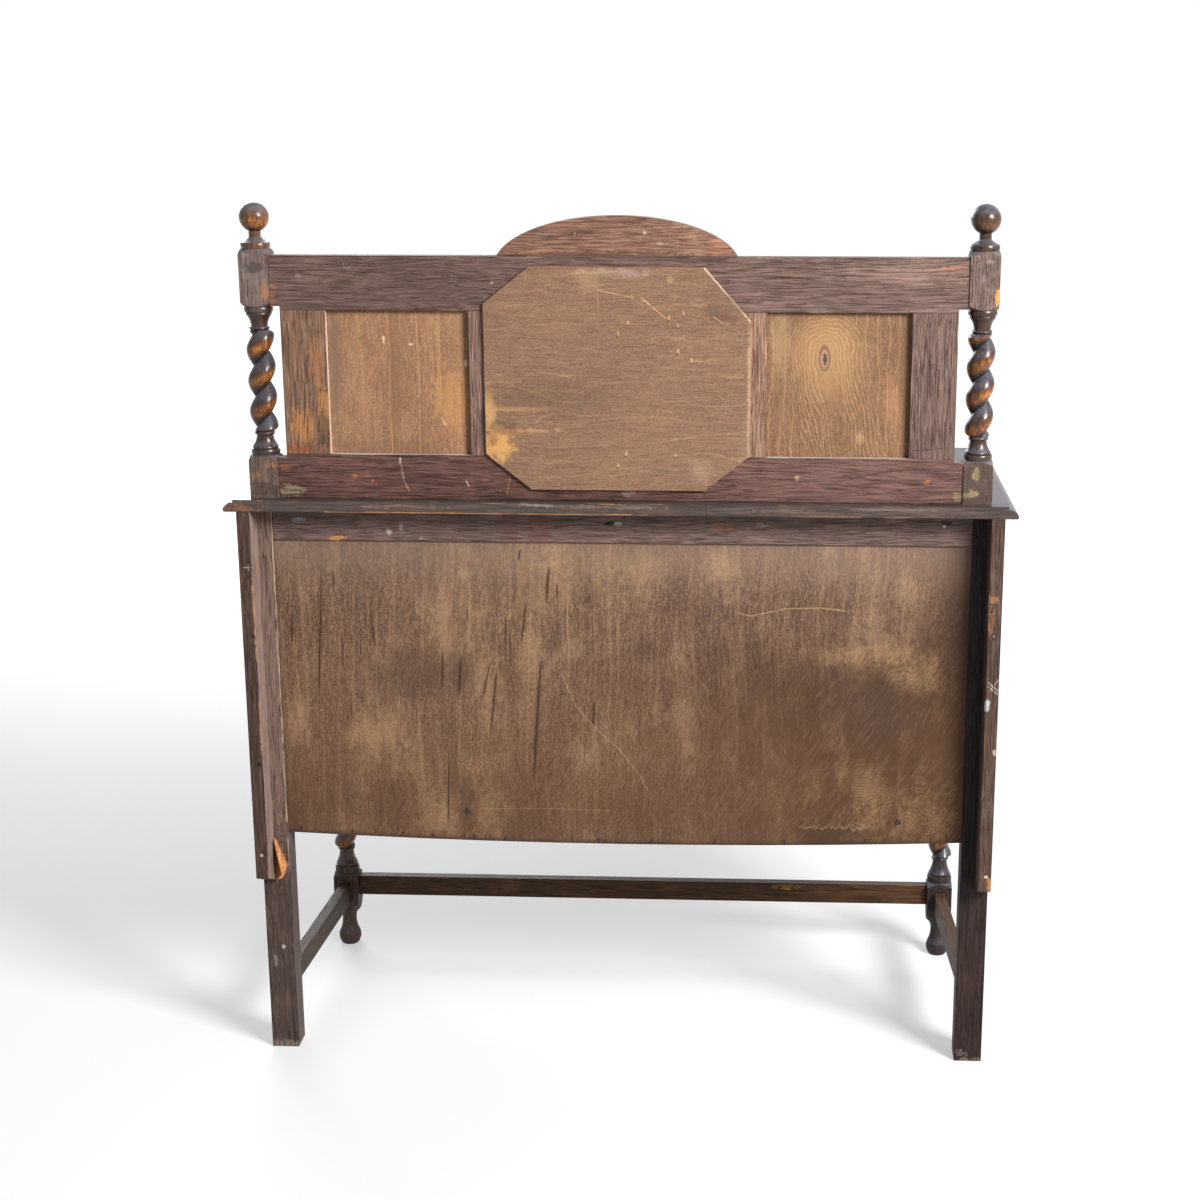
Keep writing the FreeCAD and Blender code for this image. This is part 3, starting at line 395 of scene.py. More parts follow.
# The right side bar has a darker copy of the stretcher tones: painted shade.
SIDE_BAR_OAK_AND_SHADE = {"right": ("24170c", "43301f", "553a27", "6b4d31"), "left": STRETCHER_OAK}
front_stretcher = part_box("stretcher_front")
STRETCHER_MARKS = [blot(-0.265, front_stretcher[1].y, 0.128, 0.018, 0.004, "a5743c", 0.8, 1.5)]
front_bar = oak("stretcher_oak_front", front_stretcher, "x", STRETCHER_OAK, 7.7, STRETCHER_MARKS, 0.4, dust=0.1)
dress(front_bar, "stretcher_front")
for seed, side in enumerate(("right", "left")):
    bar = "stretcher_side_" + side
    dress(oak("stretcher_oak_" + side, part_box(bar), "y", SIDE_BAR_OAK_AND_SHADE[side], 8.2 + seed, (), 0.5, dust=0.03), bar)

# Wall strips: upright oak fillets nailed behind the rear legs, level with the back edge of the top.
# The nails are punched in, and the lower inner corner of one strip has split and left raw wood.
STRIP_OAK = ("36271f", "5c473d", "745c4f", "a97a52")
strip_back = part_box("wall_strip_right")[1].y


def painted_lit_side(place, waver, grain):
    """The inner side of a strip, painted paler than its back: a painted highlight where the light falls on it."""
    return facing(place)[0].rise(-0.5, -0.9) * (grain * 0.45 + 0.2), "ab9085"


STRIP_MARKS = {
    "right": [painted_lit_side] + marks_on(
        strip_back,
        (0.573, 0.723, 0.0028, 0.0028, "1d1714", 1.0, 0.2),
        (0.574, 0.512, 0.0032, 0.0032, "1d1714", 1.0, 0.2),
        (0.578, 0.358, 0.0025, 0.0025, "cdb9a0", 1.0, 0.2),
        ([(0.5735, 0.838), (0.5735, 0.829)], 0.0012, "b7a592", 0.8),
        ([(0.571, 0.8335), (0.580, 0.8335)], 0.0012, "b7a592", 0.8),
        (0.5690, 0.76, 0.0016, 0.060, "b98a66", 0.8, 0.6),
        (0.5690, 0.58, 0.0014, 0.040, "b98a66", 0.7, 0.6),
    ),
    "left": marks_on(
        strip_back,
        (-0.5784, 0.7367, 0.0045, 0.0045, "2a211d", 1.0, 0.2),
        (-0.5784, 0.7375, 0.0022, 0.0022, "8d7a6c", 1.0, 0.2),
        (-0.572, 0.628, 0.004, 0.008, "c4c6c8", 0.9, 1.2),
        ([(-0.572, 0.664), (-0.588, 0.650)], 0.0014, "b5a596", 0.8),
        ([(-0.572, 0.657), (-0.587, 0.645)], 0.0012, "b5a596", 0.7),
        ([(-0.574, 0.650), (-0.588, 0.668)], 0.0012, "b5a596", 0.6),
        (-0.586, 0.5486, 0.0025, 0.004, "b9a998", 0.9),
        (-0.575, 0.7965, 0.007, 0.005, "9b6b42", 0.9, 1.4),
        (-0.571, 0.762, 0.004, 0.016, "91643f", 0.8, 1.4),
        (-0.5807, 0.3428, 0.0028, 0.0028, "ddd3c6", 1.0, 0.2),
        (-0.5855, 0.324, 0.004, 0.012, "b77c43", 0.9, 1.4),
    ),
}
for seed, side in enumerate(("right", "left")):
    strip = "wall_strip_" + side
    dress(oak("strip_oak_" + side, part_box(strip), "z", STRIP_OAK, 11.4 + seed, STRIP_MARKS[side], wear=0.9), strip)

# Splinter: a tongue of raw oak that broke away from the foot of one strip and still clings beside it.
# It is thick where it meets the strip and thins to a torn edge on the leg.
ROOT_X, SPLINTER_WIDE = 0.568, 0.0210
SPLINTER = [(ROOT_X, 0.298), (0.5645, 0.3025), (0.5495, 0.3195), (0.5470, 0.3255), (0.5508, 0.3330), (0.5540, 0.3425),
            (0.5590, 0.3540), (0.5632, 0.3660), (ROOT_X, 0.3740)]


def keep(shape, name, material, body="cabinet"):
    """A finished mesh as a piece of the cabinet that rides on a body."""
    mesh = bpy.data.meshes.new(name)
    bmesh.ops.recalc_face_normals(shape, faces=shape.faces)
    shape.to_mesh(mesh)
    shape.free()
    mesh.materials.append(material)
    piece = bpy.data.objects.new(name, mesh)
    bpy.context.scene.collection.objects.link(piece)
    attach(piece, body)


shape = bmesh.new()
outline = [shape.verts.new((x, leg_back, z)) for x, z in SPLINTER]
sole = shape.faces.new(outline)
raised = bmesh.ops.extrude_face_region(shape, geom=[sole])
for vert in raised["geom"]:
    if isinstance(vert, bmesh.types.BMVert):
        inward = (ROOT_X - vert.co.x) / SPLINTER_WIDE
        vert.co.y += 0.0095 * (1.0 - inward) + 0.0008
        vert.co.x += 0.0006 * inward
bmesh.ops.subdivide_edges(shape, edges=shape.edges[:], cuts=2, use_grid_fill=True, fractal=0.9, seed=4)
material, shader, place = finish("raw_oak")
fibre = place.moved((0.3, 0.1, 0.7), LONG["z"]).noise(480.0, 6.0, 0.7)
colour = fibre.rise(0.3, 0.7).mix(stain("6f3e1f"), stain("cf8a52"))
colour = (place.noise(150.0, 4.0).rise(0.55, 0.7) * 0.6).mix(colour, stain("e0ac7c"))
coat(shader, Base_Color=colour, Roughness=0.75, Normal=relief(fibre, 0.0012))
keep(shape, "strip_splinter", material)

# Case: oak sides and front rails, with a deal floor, partition, shelves, runners and cleats inside.
# The oak is stained and wax polished. The deal was left bare, and only the partition's front edge is faced.
CASE_OAK = ("432d20", "76543e", "92694b", "b08a66")
for seed, side in enumerate(("right", "left")):
    side_board = "side_board_" + side
    dress(oak("oak_" + side_board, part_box(side_board), "z", CASE_OAK, 14.2 + seed, (), 0.36, polish=0.15), side_board)
for seed, rail in enumerate(("front_top_rail", "front_middle_rail", "front_bottom_rail")):
    dress(oak("oak_" + rail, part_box(rail), "x", CASE_OAK, 17.9 + seed, (), 0.34, polish=0.15), rail)
DEAL = ("7f6146", "a5845f", "bb9a74", "cbb18e")
INSIDE = {"case_floor": "x", "partition": "y", "shelf_right": "x", "shelf_left": "x", "drawer_runners": "y",
          "shelf_cleats": "y"}


def faced(place, waver, grain):
    """The front edge of the partition, faced with oak and stained like the rails."""
    return facing(place)[1].rise(-0.6, -0.9) * (grain * 0.35 + 0.65), "6a4b37"


for seed, board in enumerate(INSIDE):
    marks = [faced] if board == "partition" else []
    dress(oak("deal_" + board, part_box(board), INSIDE[board], DEAL, 21.3 + seed, marks, 0.65, 0.3, 0.2), board)

# Back of the case: an oak rail under the top, and a sheet of birch plywood let into the legs and the rail.
# The rail has screw pockets and old paint marks. The sheet is cracked, scratched and torn at its foot.
BACK_RAIL_OAK = ("55433e", "7f675f", "93796f", "b98f70")
rail_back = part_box("back_rail")[1].y
BACK_RAIL_MARKS = marks_on(
    rail_back,
    (0.127, 0.889, 0.016, 0.045, "6b4540", 0.55, 0.3, 0.25),
    (0.171, 0.892, 0.012, 0.045, "6b4540", 0.5, 0.3, 0.25),
    (-0.159, 0.894, 0.016, 0.007, "94684e", 0.8, 1.2),
    (0.503, 0.900, 0.011, 0.0035, "9b9ca0", 0.7, 0.7),
    (0.3625, 0.883, 0.004, 0.005, "b5aea4", 0.9, 1.2),
    (0.342, 0.887, 0.0035, 0.007, "a8a096", 0.8, 1.2),
    (0.440, 0.8717, 0.014, 0.0028, "c68a56", 0.95, 1.2),
    (0.310, 0.873, 0.005, 0.003, "c0b6aa", 0.9, 1.2),
    (-0.2206, 0.899, 0.008, 0.003, "a59a90", 0.8, 1.2),
    (0.0125, 0.8987, 0.011, 0.0045, "17110f", 1.0, 0.5),
    (0.004, 0.8978, 0.007, 0.003, "b9b2aa", 0.9, 0.8),
    (-0.5046, 0.904, 0.008, 0.005, "120d0b", 1.0, 0.5),
    (-0.501, 0.899, 0.004, 0.003, "c8c4be", 0.9, 0.8),
)
dress(oak("back_rail_oak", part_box("back_rail"), "x", BACK_RAIL_OAK, 25.6, BACK_RAIL_MARKS), "back_rail")


def birch(name, along, tones, seed, calm=1.0):
    """Start of a plywood face: short fibre, streaks and clouds of colour, with fine specks and pores."""
    material, shader, place = finish(name)
    dark, middle, light = [stain(code) for code in tones]
    shift = (seed * 1.37, seed * 0.71, seed * 2.13)
    sway = place.moved(shift).noise(3.0, 2.0, 0.5, out=1).vector("MULTIPLY", (0.05, 0.0, 0.05))
    still = place.vector("ADD", sway)

    def drawn_out(share):
        return still.moved(shift, (1.0, 1.0, share) if along == "z" else (share, 1.0, 1.0))

    fibre = still.moved(shift, DASH[along]).noise(520.0, 5.0, 0.72)
    streak = still.moved(shift, LONG[along]).noise(150.0, 4.0, 0.62)
    cloud = drawn_out(0.45).noise(14.0, 10.0, 0.7)
    speck = drawn_out(0.16).noise(430.0, 4.0, 0.7)
    pore = drawn_out(0.4).noise(620.0, 2.0, 0.8)
    colour = fibre.rise(0.28, 0.72).mix(dark, middle)
    colour = (streak.rise(0.5, 0.72) * (0.35 * calm)).mix(colour, light)
    colour = (streak.rise(0.48, 0.28) * (0.35 * calm)).mix(colour, dark)
    colour = (cloud.rise(0.5, 0.7) * (0.55 * calm)).mix(colour, light)
    colour = (cloud.rise(0.5, 0.3) * (0.5 * calm)).mix(colour, dark)
    colour = (speck.rise(0.52, 0.66) * 0.34).mix(colour, light)
    colour = (speck.rise(0.48, 0.34) * 0.44).mix(colour, dark)
    colour = (pore.rise(0.52, 0.68) * 0.62).mix(colour, light)
    colour = (pore.rise(0.48, 0.32) * 0.75).mix(colour, dark)
    coat(shader, Specular_IOR_Level=0.2)
    return material, shader, place, cloud, colour, fibre


def growth(field, gap, width):
    """Thin lines where a slowly changing field passes each step of the gap. Width is a share of the gap."""
    return abs((field * (1.0 / gap)).part() - 0.5).rise(width, width * 0.2)


def bare_edge(place, colour, tone):
    """Sawn plywood edges show their layers, paler than the face."""
    sawn = abs(facing(place)[1]).rise(0.6, 0.3)
    layers = abs((place.axes()[1] * 620.0).part() - 0.5).rise(0.1, 0.3)
    edge = (layers * 0.5).mix(stain(tone), stain("6e5038"))
    return sawn.mix(colour, edge)


material, shader, place, cloud, colour, fibre = birch("back_ply", "z", ("453127", "785c49", "9e7d60"), 1.9, 1.5)
ply_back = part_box("back_panel")[1].y
panel_x, _, panel_z = place.axes()
# Painted shade: the sheet darker towards its lower left and over its lower part.
painted_shade = (panel_x.rise(0.25, -0.45) * panel_z.rise(0.82, 0.60)).most(panel_z.rise(0.60, 0.42) * 0.5)
colour = (painted_shade * (cloud.rise(0.7, 0.4) * 0.3 + 0.7)).mix(colour, stain("2f1c12"))
# Painted shadow of the left rear leg and its wall strip along the sheet's left edge.
colour = (panel_x.rise(-0.43, -0.535) * 0.75).mix(colour, stain("3a2417"))
colour = (panel_z.rise(0.78, 0.50) * 0.2).mix(colour, stain("7a5535"))
colour = (panel_z.rise(0.76, 0.86) * 0.4).mix(colour, stain("8a7464"))
drift = place.moved((0.4, 0.0, 0.9), (1.0, 1.0, 0.6)).noise(13.0, 1.5) - 0.5
sideways = drift.node("CombineXYZ", None, {0: drift * 0.03})
leaning = place.moved((0.0, 0.0, 0.0), turn=(0.0, 0.55, 0.0)).vector("ADD", sideways)
slant = leaning.moved((0.7, 0.2, 0.1), (1.0, 1.0, 0.09)).noise(400.0, 4.0, 0.7).rise(0.48, 0.70)
slant_region = place.moved((2.1, 0.3, 0.2)).noise(5.0, 3.0).rise(0.42, 0.60)
colour = (slant * slant_region * 0.24).mix(colour, stain("a07c59"))
ripple = growth(panel_z + panel_x * 0.3 + drift * 0.15, 0.0072, 0.30)
PLY_PALE = [(0.2504, 0.4203, 0.060, 0.036), (-0.4427, 0.4135, 0.062, 0.036), (-0.39, 0.691, 0.080, 0.014),
            (-0.465, 0.660, 0.050, 0.022), (-0.385, 0.468, 0.085, 0.034), (0.294, 0.490, 0.075, 0.034),
            (0.225, 0.724, 0.050, 0.070), (0.160, 0.668, 0.030, 0.080), (0.13, 0.80, 0.10, 0.045),
            (-0.05, 0.83, 0.14, 0.02), (0.40, 0.55, 0.05, 0.03)]
PLY_DARK = [(-0.041, 0.6945, 0.016, 0.015), (0.0515, 0.773, 0.008, 0.009), (0.108, 0.7007, 0.013, 0.011),
            (0.335, 0.650, 0.085, 0.040), (-0.40, 0.60, 0.060, 0.045), (0.255, 0.655, 0.018, 0.030)]
CRACKS = [(0.4726, 0.812, 0.4855, 0.600, 0.0019), (0.4530, 0.818, 0.4547, 0.782, 0.0016),
          (0.5225, 0.750, 0.5243, 0.694, 0.0016), (0.3970, 0.756, 0.3915, 0.690, 0.0018),
          (0.4433, 0.718, 0.4440, 0.656, 0.0012), (0.2545, 0.684, 0.2596, 0.612, 0.0026),
          (0.2830, 0.690, 0.2866, 0.622, 0.0016), (0.2070, 0.677, 0.2230, 0.606, 0.0014),
          (0.1976, 0.664, 0.2097, 0.556, 0.0018), (0.1120, 0.831, 0.1180, 0.765, 0.0022),
          (0.1270, 0.688, 0.1440, 0.458, 0.0027), (0.0439, 0.613, 0.0460, 0.564, 0.0027),
          (0.1570, 0.856, 0.1605, 0.836, 0.0015), (0.1490, 0.771, 0.1586, 0.698, 0.0018),
          (0.0999, 0.803, 0.1003, 0.773, 0.0015), (0.4350, 0.607, 0.4330, 0.573, 0.0011),
          (0.2783, 0.526, 0.2839, 0.385, 0.0014), (0.1820, 0.752, 0.1840, 0.688, 0.0012),
          (0.1750, 0.732, 0.1770, 0.668, 0.0010), (0.2420, 0.760, 0.2440, 0.735, 0.0010)]
PLY_LINES = [
    ([(-0.181, 0.7565), (-0.206, 0.752), (-0.257, 0.764), (-0.312, 0.766), (-0.351, 0.762)], 0.0015, 0.7),
    ([(0.096, 0.6565), (0.074, 0.602), (0.041, 0.5626), (0.003, 0.528), (-0.029, 0.4846), (-0.041, 0.461)],
     0.0013, 0.5),
    ([(-0.080, 0.695), (-0.144, 0.622)], 0.0010, 0.3),
    ([(0.24, 0.424), (0.13, 0.427), (0.02, 0.425)], 0.0010, 0.35),
]
pale_grain = cloud.rise(0.36, 0.64) * (ripple * 0.42 + 0.58)
pale = [blot(x, ply_back, z, wide, tall, "ac875e", 0.55, 1.3, 1.6) for x, z, wide, tall in PLY_PALE]
colour = marked(place, colour, pale_grain, pale)
marks = [blot(x, ply_back, z, wide, tall, "46342a", 0.5, 1.0, 1.2) for x, z, wide, tall in PLY_DARK]
for x, z, end_x, end_z, width in CRACKS:
    marks.append(crack(ply_back, x, z, end_x, end_z, width * 1.9, "4a3124", 0.42))
    marks.append(crack(ply_back, x, z, end_x, end_z, width * 0.7, "301d15", 0.85))
marks += [score(ply_back, points, width, "a98660", strength * 0.85) for points, width, strength in PLY_LINES]
marks += [blot(0.4735, ply_back, 0.780, 0.004, 0.032, "5a3f31", 0.7, 0.6)]
colour = marked(place, colour, fibre.rise(0.2, 0.5), marks)
brink = place.moved((0.3, 0.0, 0.0), (1.0, 0.0, 0.0)).noise(75.0, 6.0, 0.75) * 0.06 + 0.372 - panel_z
span = panel_x.rise(-0.408, -0.392) * panel_x.rise(-0.276, -0.296)
tear = brink.rise(0.0, 0.0012) * span
colour = (tear * 0.55).mix(colour, stain("3a261b"))
colour = (abs(brink).rise(0.0014, 0.0003) * span * 0.7).mix(colour, stain("b39470"))
grime = place.moved((0.2, 0.0, 0.4), (0.2, 1.0, 1.0)).noise(60.0, 3.0) * 0.008
PLY_FOOT, PLY_SAG = 0.368, 0.0393
foot = (panel_z + panel_x * panel_x * -PLY_SAG + grime).rise(PLY_FOOT + 0.013, PLY_FOOT + 0.004)
colour = (foot * 0.75).mix(colour, stain("33251d"))
coat(
    shader,
    Base_Color=bare_edge(place, colour, "8d6f55"),
    Roughness=0.58 + (fibre - 0.5) * 0.3,
    Normal=relief(fibre * 0.5 + cloud * 0.8 - tear * 1.2, 0.0007),
)
dress(material, "back_panel")

# Panel screws: two slotted steel screws through the foot of the back sheet into the case floor, gone dark.
# Panel pins: short wire pins along the foot of the sheet, some pulled crooked.


def screw_head(shape, x, y, z, radius, turn):
    """Domed head with a slot, standing out of the face at y towards +Y."""
    made = bmesh.ops.create_cone(shape, cap_ends=True, segments=16, radius1=radius, radius2=radius * 0.72,
                                 depth=radius * 0.5)["verts"]
    faces = list({face for vert in made for face in vert.link_faces})
    edges = list({edge for vert in made for edge in vert.link_edges})
    for side in (-1, 1):
        cut = bmesh.ops.bisect_plane(shape, geom=made + edges + faces, plane_co=(side * radius * 0.13, 0, 0),
                                     plane_no=(1, 0, 0))
        made = [item for item in cut["geom"] if isinstance(item, bmesh.types.BMVert)]
        edges = [item for item in cut["geom"] if isinstance(item, bmesh.types.BMEdge)]
        faces = [item for item in cut["geom"] if isinstance(item, bmesh.types.BMFace)]
    for face in faces:
        if face.normal.z > 0.9 and abs(face.calc_center_median().x) < radius * 0.1:
            slot = bmesh.ops.extrude_face_region(shape, geom=[face])["geom"]
            floor = [item for item in slot if isinstance(item, bmesh.types.BMVert)]
            bmesh.ops.translate(shape, verts=floor, vec=(0, 0, -radius * 0.25))
            made += floor
            bmesh.ops.delete(shape, geom=[face], context="FACES_ONLY")
    place = Matrix.Translation((x, y + radius * 0.15, z)) @ Matrix.Rotation(-math.pi / 2, 4, "X")
    bmesh.ops.transform(shape, matrix=place @ Matrix.Rotation(turn, 4, "Z"), verts=made)


dark_steel, shader, place = finish("dark_steel")
rust = place.noise(700.0, 5.0, 0.7)
colour = rust.rise(0.4, 0.65).mix(stain("3a3c40"), stain("4f3628"))
coat(shader, Base_Color=colour, Metallic=0.6, Roughness=0.5 + rust * 0.2, Normal=relief(rust, 0.0003))
SCREW_RADIUS = 0.0052
SCREWS = [(0.2504, 0.4203, 0.5), (-0.4427, 0.4135, 1.1)]
shape = bmesh.new()
for x, z, turn in SCREWS:
    screw_head(shape, x, ply_back, z, SCREW_RADIUS, turn)
keep(shape, "panel_screws", dark_steel)
PINS = [(0.523, 0.0065), (0.439, 0.0072), (0.358, 0.0058), (0.3076, 0.0052), (0.2412, 0.0065), (0.189, 0.0060),
        (0.038, 0.0060), (-0.047, 0.0068), (-0.150, 0.0062), (-0.262, 0.0055), (-0.391, 0.0060), (-0.5216, 0.0080)]
PIN_LONG, PIN_FOOT, PIN_HEAD = 0.0075, 0.0009, 0.0013
shape = bmesh.new()
for count, (x, rise) in enumerate(PINS):
    foot_z = PLY_FOOT + PLY_SAG * x * x
    lean = 0.35 * math.sin(count * 2.3)
    made = bmesh.ops.create_cone(shape, cap_ends=True, segments=8, radius1=PIN_FOOT, radius2=PIN_HEAD,
                                 depth=PIN_LONG)["verts"]
    seat = Matrix.Translation((x, ply_back + 0.0006, foot_z + rise)) @ Matrix.Rotation(lean, 4, "Y")
    bmesh.ops.transform(shape, matrix=seat, verts=made)
keep(shape, "panel_pins", dark_steel)

# Top: one oak board with a moulded edge along the front and both ends, and a square back edge.
# Its upper face is polished. The back edge stood against a wall and is scraped and split.
TOP_OAK = ("2c211c", "54423b", "6d574c", "b27d48")
top_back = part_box("top_board")[1].y
gallery_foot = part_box("gallery_bottom_rail")[1].y


def painted_ledge_shade(place, waver, grain):
    """Painted shade on the strip of the top behind the gallery, in the narrow gap behind its foot."""
    behind = place.axes()[1].rise(gallery_foot - 0.003, gallery_foot)
    return facing(place)[2].rise(0.8, 0.95) * behind * (grain * 0.2 + 0.75), "231914"


TOP_MARKS = [painted_ledge_shade] + marks_on(
    top_back,
    (0.585, 0.927, 0.026, 0.005, "8f5c38", 0.7, 1.6),
    (0.120, 0.9365, 0.024, 0.0025, "958a7c", 0.6, 0.6),
    ([(-0.135, 0.941), (-0.1345, 0.930), (-0.138, 0.921)], 0.0014, "201612", 0.9),
    ([(0.605, 0.9205), (-0.605, 0.9205)], 0.0022, "1b1310", 0.8),
    (0.33, 0.932, 0.05, 0.0030, "8a6a52", 0.5, 1.2),
    (0.02, 0.934, 0.07, 0.0025, "857263", 0.5, 1.2),
    (-0.25, 0.930, 0.04, 0.0030, "7d6250", 0.5, 1.2),
    ([(0.45, 0.9225), (0.20, 0.9222), (-0.02, 0.9225)], 0.0016, "b07a48", 0.7),
    (-0.42, 0.934, 0.06, 0.002, "85776b", 0.5, 0.6),
)
dress(oak("top_oak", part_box("top_board"), "x", TOP_OAK, 31.7, TOP_MARKS, 0.42, 0.8, 0.1, 0.5), "top_board")

# Gallery posts: oak with square ends and a turned twist between them, doweled into the top,
# and a turned ball finial doweled into the head of each.
POST_OAK = ("46352e", "7a655b", "957d73", "b5967a", "241610", "4a3020")
BALL_OAK = {"right": POST_OAK[:4] + ("3a2415", "7c5532"), "left": POST_OAK[:4] + ("261812", "4f3624")}
post_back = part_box("gallery_post_right")[1].y
POST_MARKS = {
    "right": marks_on(
        post_back,
        (0.545, 1.27, 0.030, 0.050, "93847f", 0.35, 0.4, 1.0),
        (0.545, 1.291, 0.012, 0.009, "3a302c", 0.8, 1.2),
        (0.5316, 1.256, 0.0062, 0.015, "a87550", 0.8, 1.0, 1.0),
        (0.558, 1.31, 0.008, 0.003, "9c8f84", 0.4, 0.8, 1.2),
        (0.556, 0.975, 0.010, 0.004, "a06a42", 0.8, 1.6),
        (0.535, 0.992, 0.009, 0.005, "a06a42", 0.7, 1.6),
        (0.545, 0.953, 0.022, 0.010, "322824", 0.6, 1.6),
    ),
    "left": marks_on(
        post_back,
        (-0.5467, 0.970, 0.030, 0.045, "42322b", 0.85, 0.4, 0.4),
        (-0.5665, 1.2536, 0.0035, 0.011, "cf914a", 1.0, 1.0),
        ([(-0.545, 1.312), (-0.548, 1.290), (-0.552, 1.268)], 0.0013, "2a201c", 0.9),
        (-0.555, 1.305, 0.007, 0.0025, "b3a194", 0.4, 0.8, 1.2),
        (-0.543, 0.984, 0.0045, 0.011, "8f7d5c", 0.8, 1.2),
        (-0.544, 0.956, 0.012, 0.0055, "95825c", 0.8, 1.2),
    ),
}
POST_TWIST, BALL = (1.041, 1.197), (1.343, 1.39)
BALL_GOLD = {"right": 0.85, "left": 0.25}
for seed, side in enumerate(("right", "left")):
    low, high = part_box("gallery_post_" + side)
    axis = ((low.x + high.x) / 2, (low.y + high.y) / 2)
    post = turned_oak("turned_post_oak_" + side, axis, *POST_TWIST, POST_OAK, 35.1 + seed, POST_MARKS[side])
    dress(post, "gallery_post_" + side)
    ball = turned_oak("turned_ball_oak_" + side, axis, *BALL, BALL_OAK[side], 37.4 + seed, (), BALL_GOLD[side])
    dress(ball, "finial_" + side)

# Gallery frame: oak rails, stiles and muntins, tenoned together and grooved for the thin panels.
# The back is only stained. It has paint marks, scratches and patches rubbed back to bare wood, and painted light and
# shade.
GALLERY_OAK = ("4a3932", "7e645c", "987c71", "b58f74")
LOW_GALLERY_OAK = ("3e2a26", "6d4d45", "876257", "ad866c")
WARM_OAK = ("5e4637", "93705a", "ab856b", "c29a74")
MUNTIN_OAK = {"right": ("5c463d", "947468", "ab8a7d", "bb967c"), "left": ("664d3f", "a07b66", "ba9179", "c29a74")}
gallery_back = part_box("gallery_top_rail")[1].y
TOP_RAIL_MARKS = marks_on(
    gallery_back,
    # Painted shade over the rail's right half.
    (0.34, 1.27, 0.19, 0.07, "4f3b34", 0.35, 0.3, 1.4),
    (0.479, 1.2795, 0.0045, 0.003, "9a887a", 0.5, 0.6, 1.0),
    ([(0.411, 1.302), (0.409, 1.293), (0.402, 1.290), (0.398, 1.297)], 0.0009, "9a8a80", 0.6),
    (0.1867, 1.2705, 0.0028, 0.0018, "b9a690", 0.9, 0.6),
    (0.1926, 1.2435, 0.005, 0.002, "d2c7b6", 0.9, 0.5),
    (0.521, 1.2533, 0.0065, 0.014, "96674a", 0.7, 1.0, 1.0),
    (-0.5015, 1.2955, 0.018, 0.0022, "b57a58", 0.7, 0.5),
    (-0.318, 1.236, 0.028, 0.007, "94847a", 0.3, 1.2, 1.3),
    # Painted highlight on the rail's left end.
    (-0.43, 1.285, 0.080, 0.016, "a08074", 0.35, 1.2, 1.4),
)


LEDGE_MIDDLE, LEDGE_HALF = 0.333, 0.107


def pale_ledge(place, waver, grain):
    """Dust and light on the ledge below the thin panels."""
    off = abs(abs(place.axes()[0]) - LEDGE_MIDDLE)
    return facing(place)[2].rise(0.8, 0.95) * off.rise(LEDGE_HALF + 0.003, LEDGE_HALF - 0.003), "dfe0dc"


def painted_lit_edge(place, waver, grain):
    """The inner edge of a stile, beside its panel, painted pale: a painted highlight where the light falls on it."""
    return facing(place)[0].rise(-0.6, -0.9) * 0.9, "d8bca8"


LOW_RAIL_MARKS = [pale_ledge] + marks_on(
    gallery_back,
    # Painted light: the rail's left half paler.
    (-0.36, 0.97, 0.18, 0.06, "8c6d64", 0.3, 0.3, 1.4),
    (0.5037, 0.952, 0.018, 0.009, "8f866c", 0.9, 1.6, 0.4),
    (0.3344, 0.999, 0.002, 0.005, "b3a498", 0.8, 0.5),
    ([(0.333, 0.992), (0.330, 0.969), (0.322, 0.952)], 0.0020, "9c8a80", 0.7),
    (0.405, 0.975, 0.003, 0.003, "c0703a", 0.9),
    (0.379, 0.968, 0.002, 0.002, "c0703a", 0.8),
    ([(0.2335, 0.969), (0.2295, 0.960)], 0.0011, "cbbcae"),
    ([(0.166, 0.974), (0.171, 0.950)], 0.0012, "a8683e", 0.9),
    (0.511, 0.9876, 0.012, 0.004, "8a5a3c", 0.7, 0.8),
    (-0.016, 0.953, 0.010, 0.005, "958b81", 0.6, 0.8),
    (-0.273, 0.977, 0.0036, 0.004, "b89a72", 0.8, 0.8),
    ([(-0.33, 0.972), (-0.40, 0.988), (-0.45, 0.994), (-0.50, 0.986)], 0.0028, "493430", 0.6),
    (-0.470, 0.973, 0.005, 0.003, "b5713f", 0.8),
    (-0.517, 0.951, 0.006, 0.007, "94825f", 0.7, 1.2),
)
STILE_MARKS = {
    "right": [painted_lit_edge] + marks_on(
        gallery_back,
        (0.458, 1.15, 0.010, 0.040, "a4714c", 0.8, 1.5),
        (0.450, 1.08, 0.009, 0.035, "b8804f", 0.85, 1.5),
        (0.483, 1.052, 0.018, 0.026, "b57b4b", 0.85, 1.6),
        (0.486, 1.017, 0.022, 0.006, "8f4f2f", 0.9, 1.8),
        (0.452, 1.045, 0.010, 0.030, "2f2622", 0.6, 1.5),
        (0.4686, 1.199, 0.007, 0.015, "8c7460", 0.6, 0.8),
    ),
    "left": marks_on(
        gallery_back,
        ([(-0.468, 1.175), (-0.471, 1.105)], 0.0013, "2c211d", 0.8),
        ([(-0.480, 1.19), (-0.481, 1.15)], 0.0010, "2c211d", 0.6),
        ([(-0.452, 1.022), (-0.498, 1.026)], 0.0012, "2c211d", 0.7),
    ),
}
top_rail_oak = oak("oak_gallery_top_rail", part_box("gallery_top_rail"), "x", GALLERY_OAK, 41.3, TOP_RAIL_MARKS)
dress(top_rail_oak, "gallery_top_rail")
low_rail_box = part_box("gallery_bottom_rail")
low_rail_oak = oak("oak_gallery_bottom_rail", low_rail_box, "x", LOW_GALLERY_OAK, 42.6, LOW_RAIL_MARKS, dust=0.9)
dress(low_rail_oak, "gallery_bottom_rail")
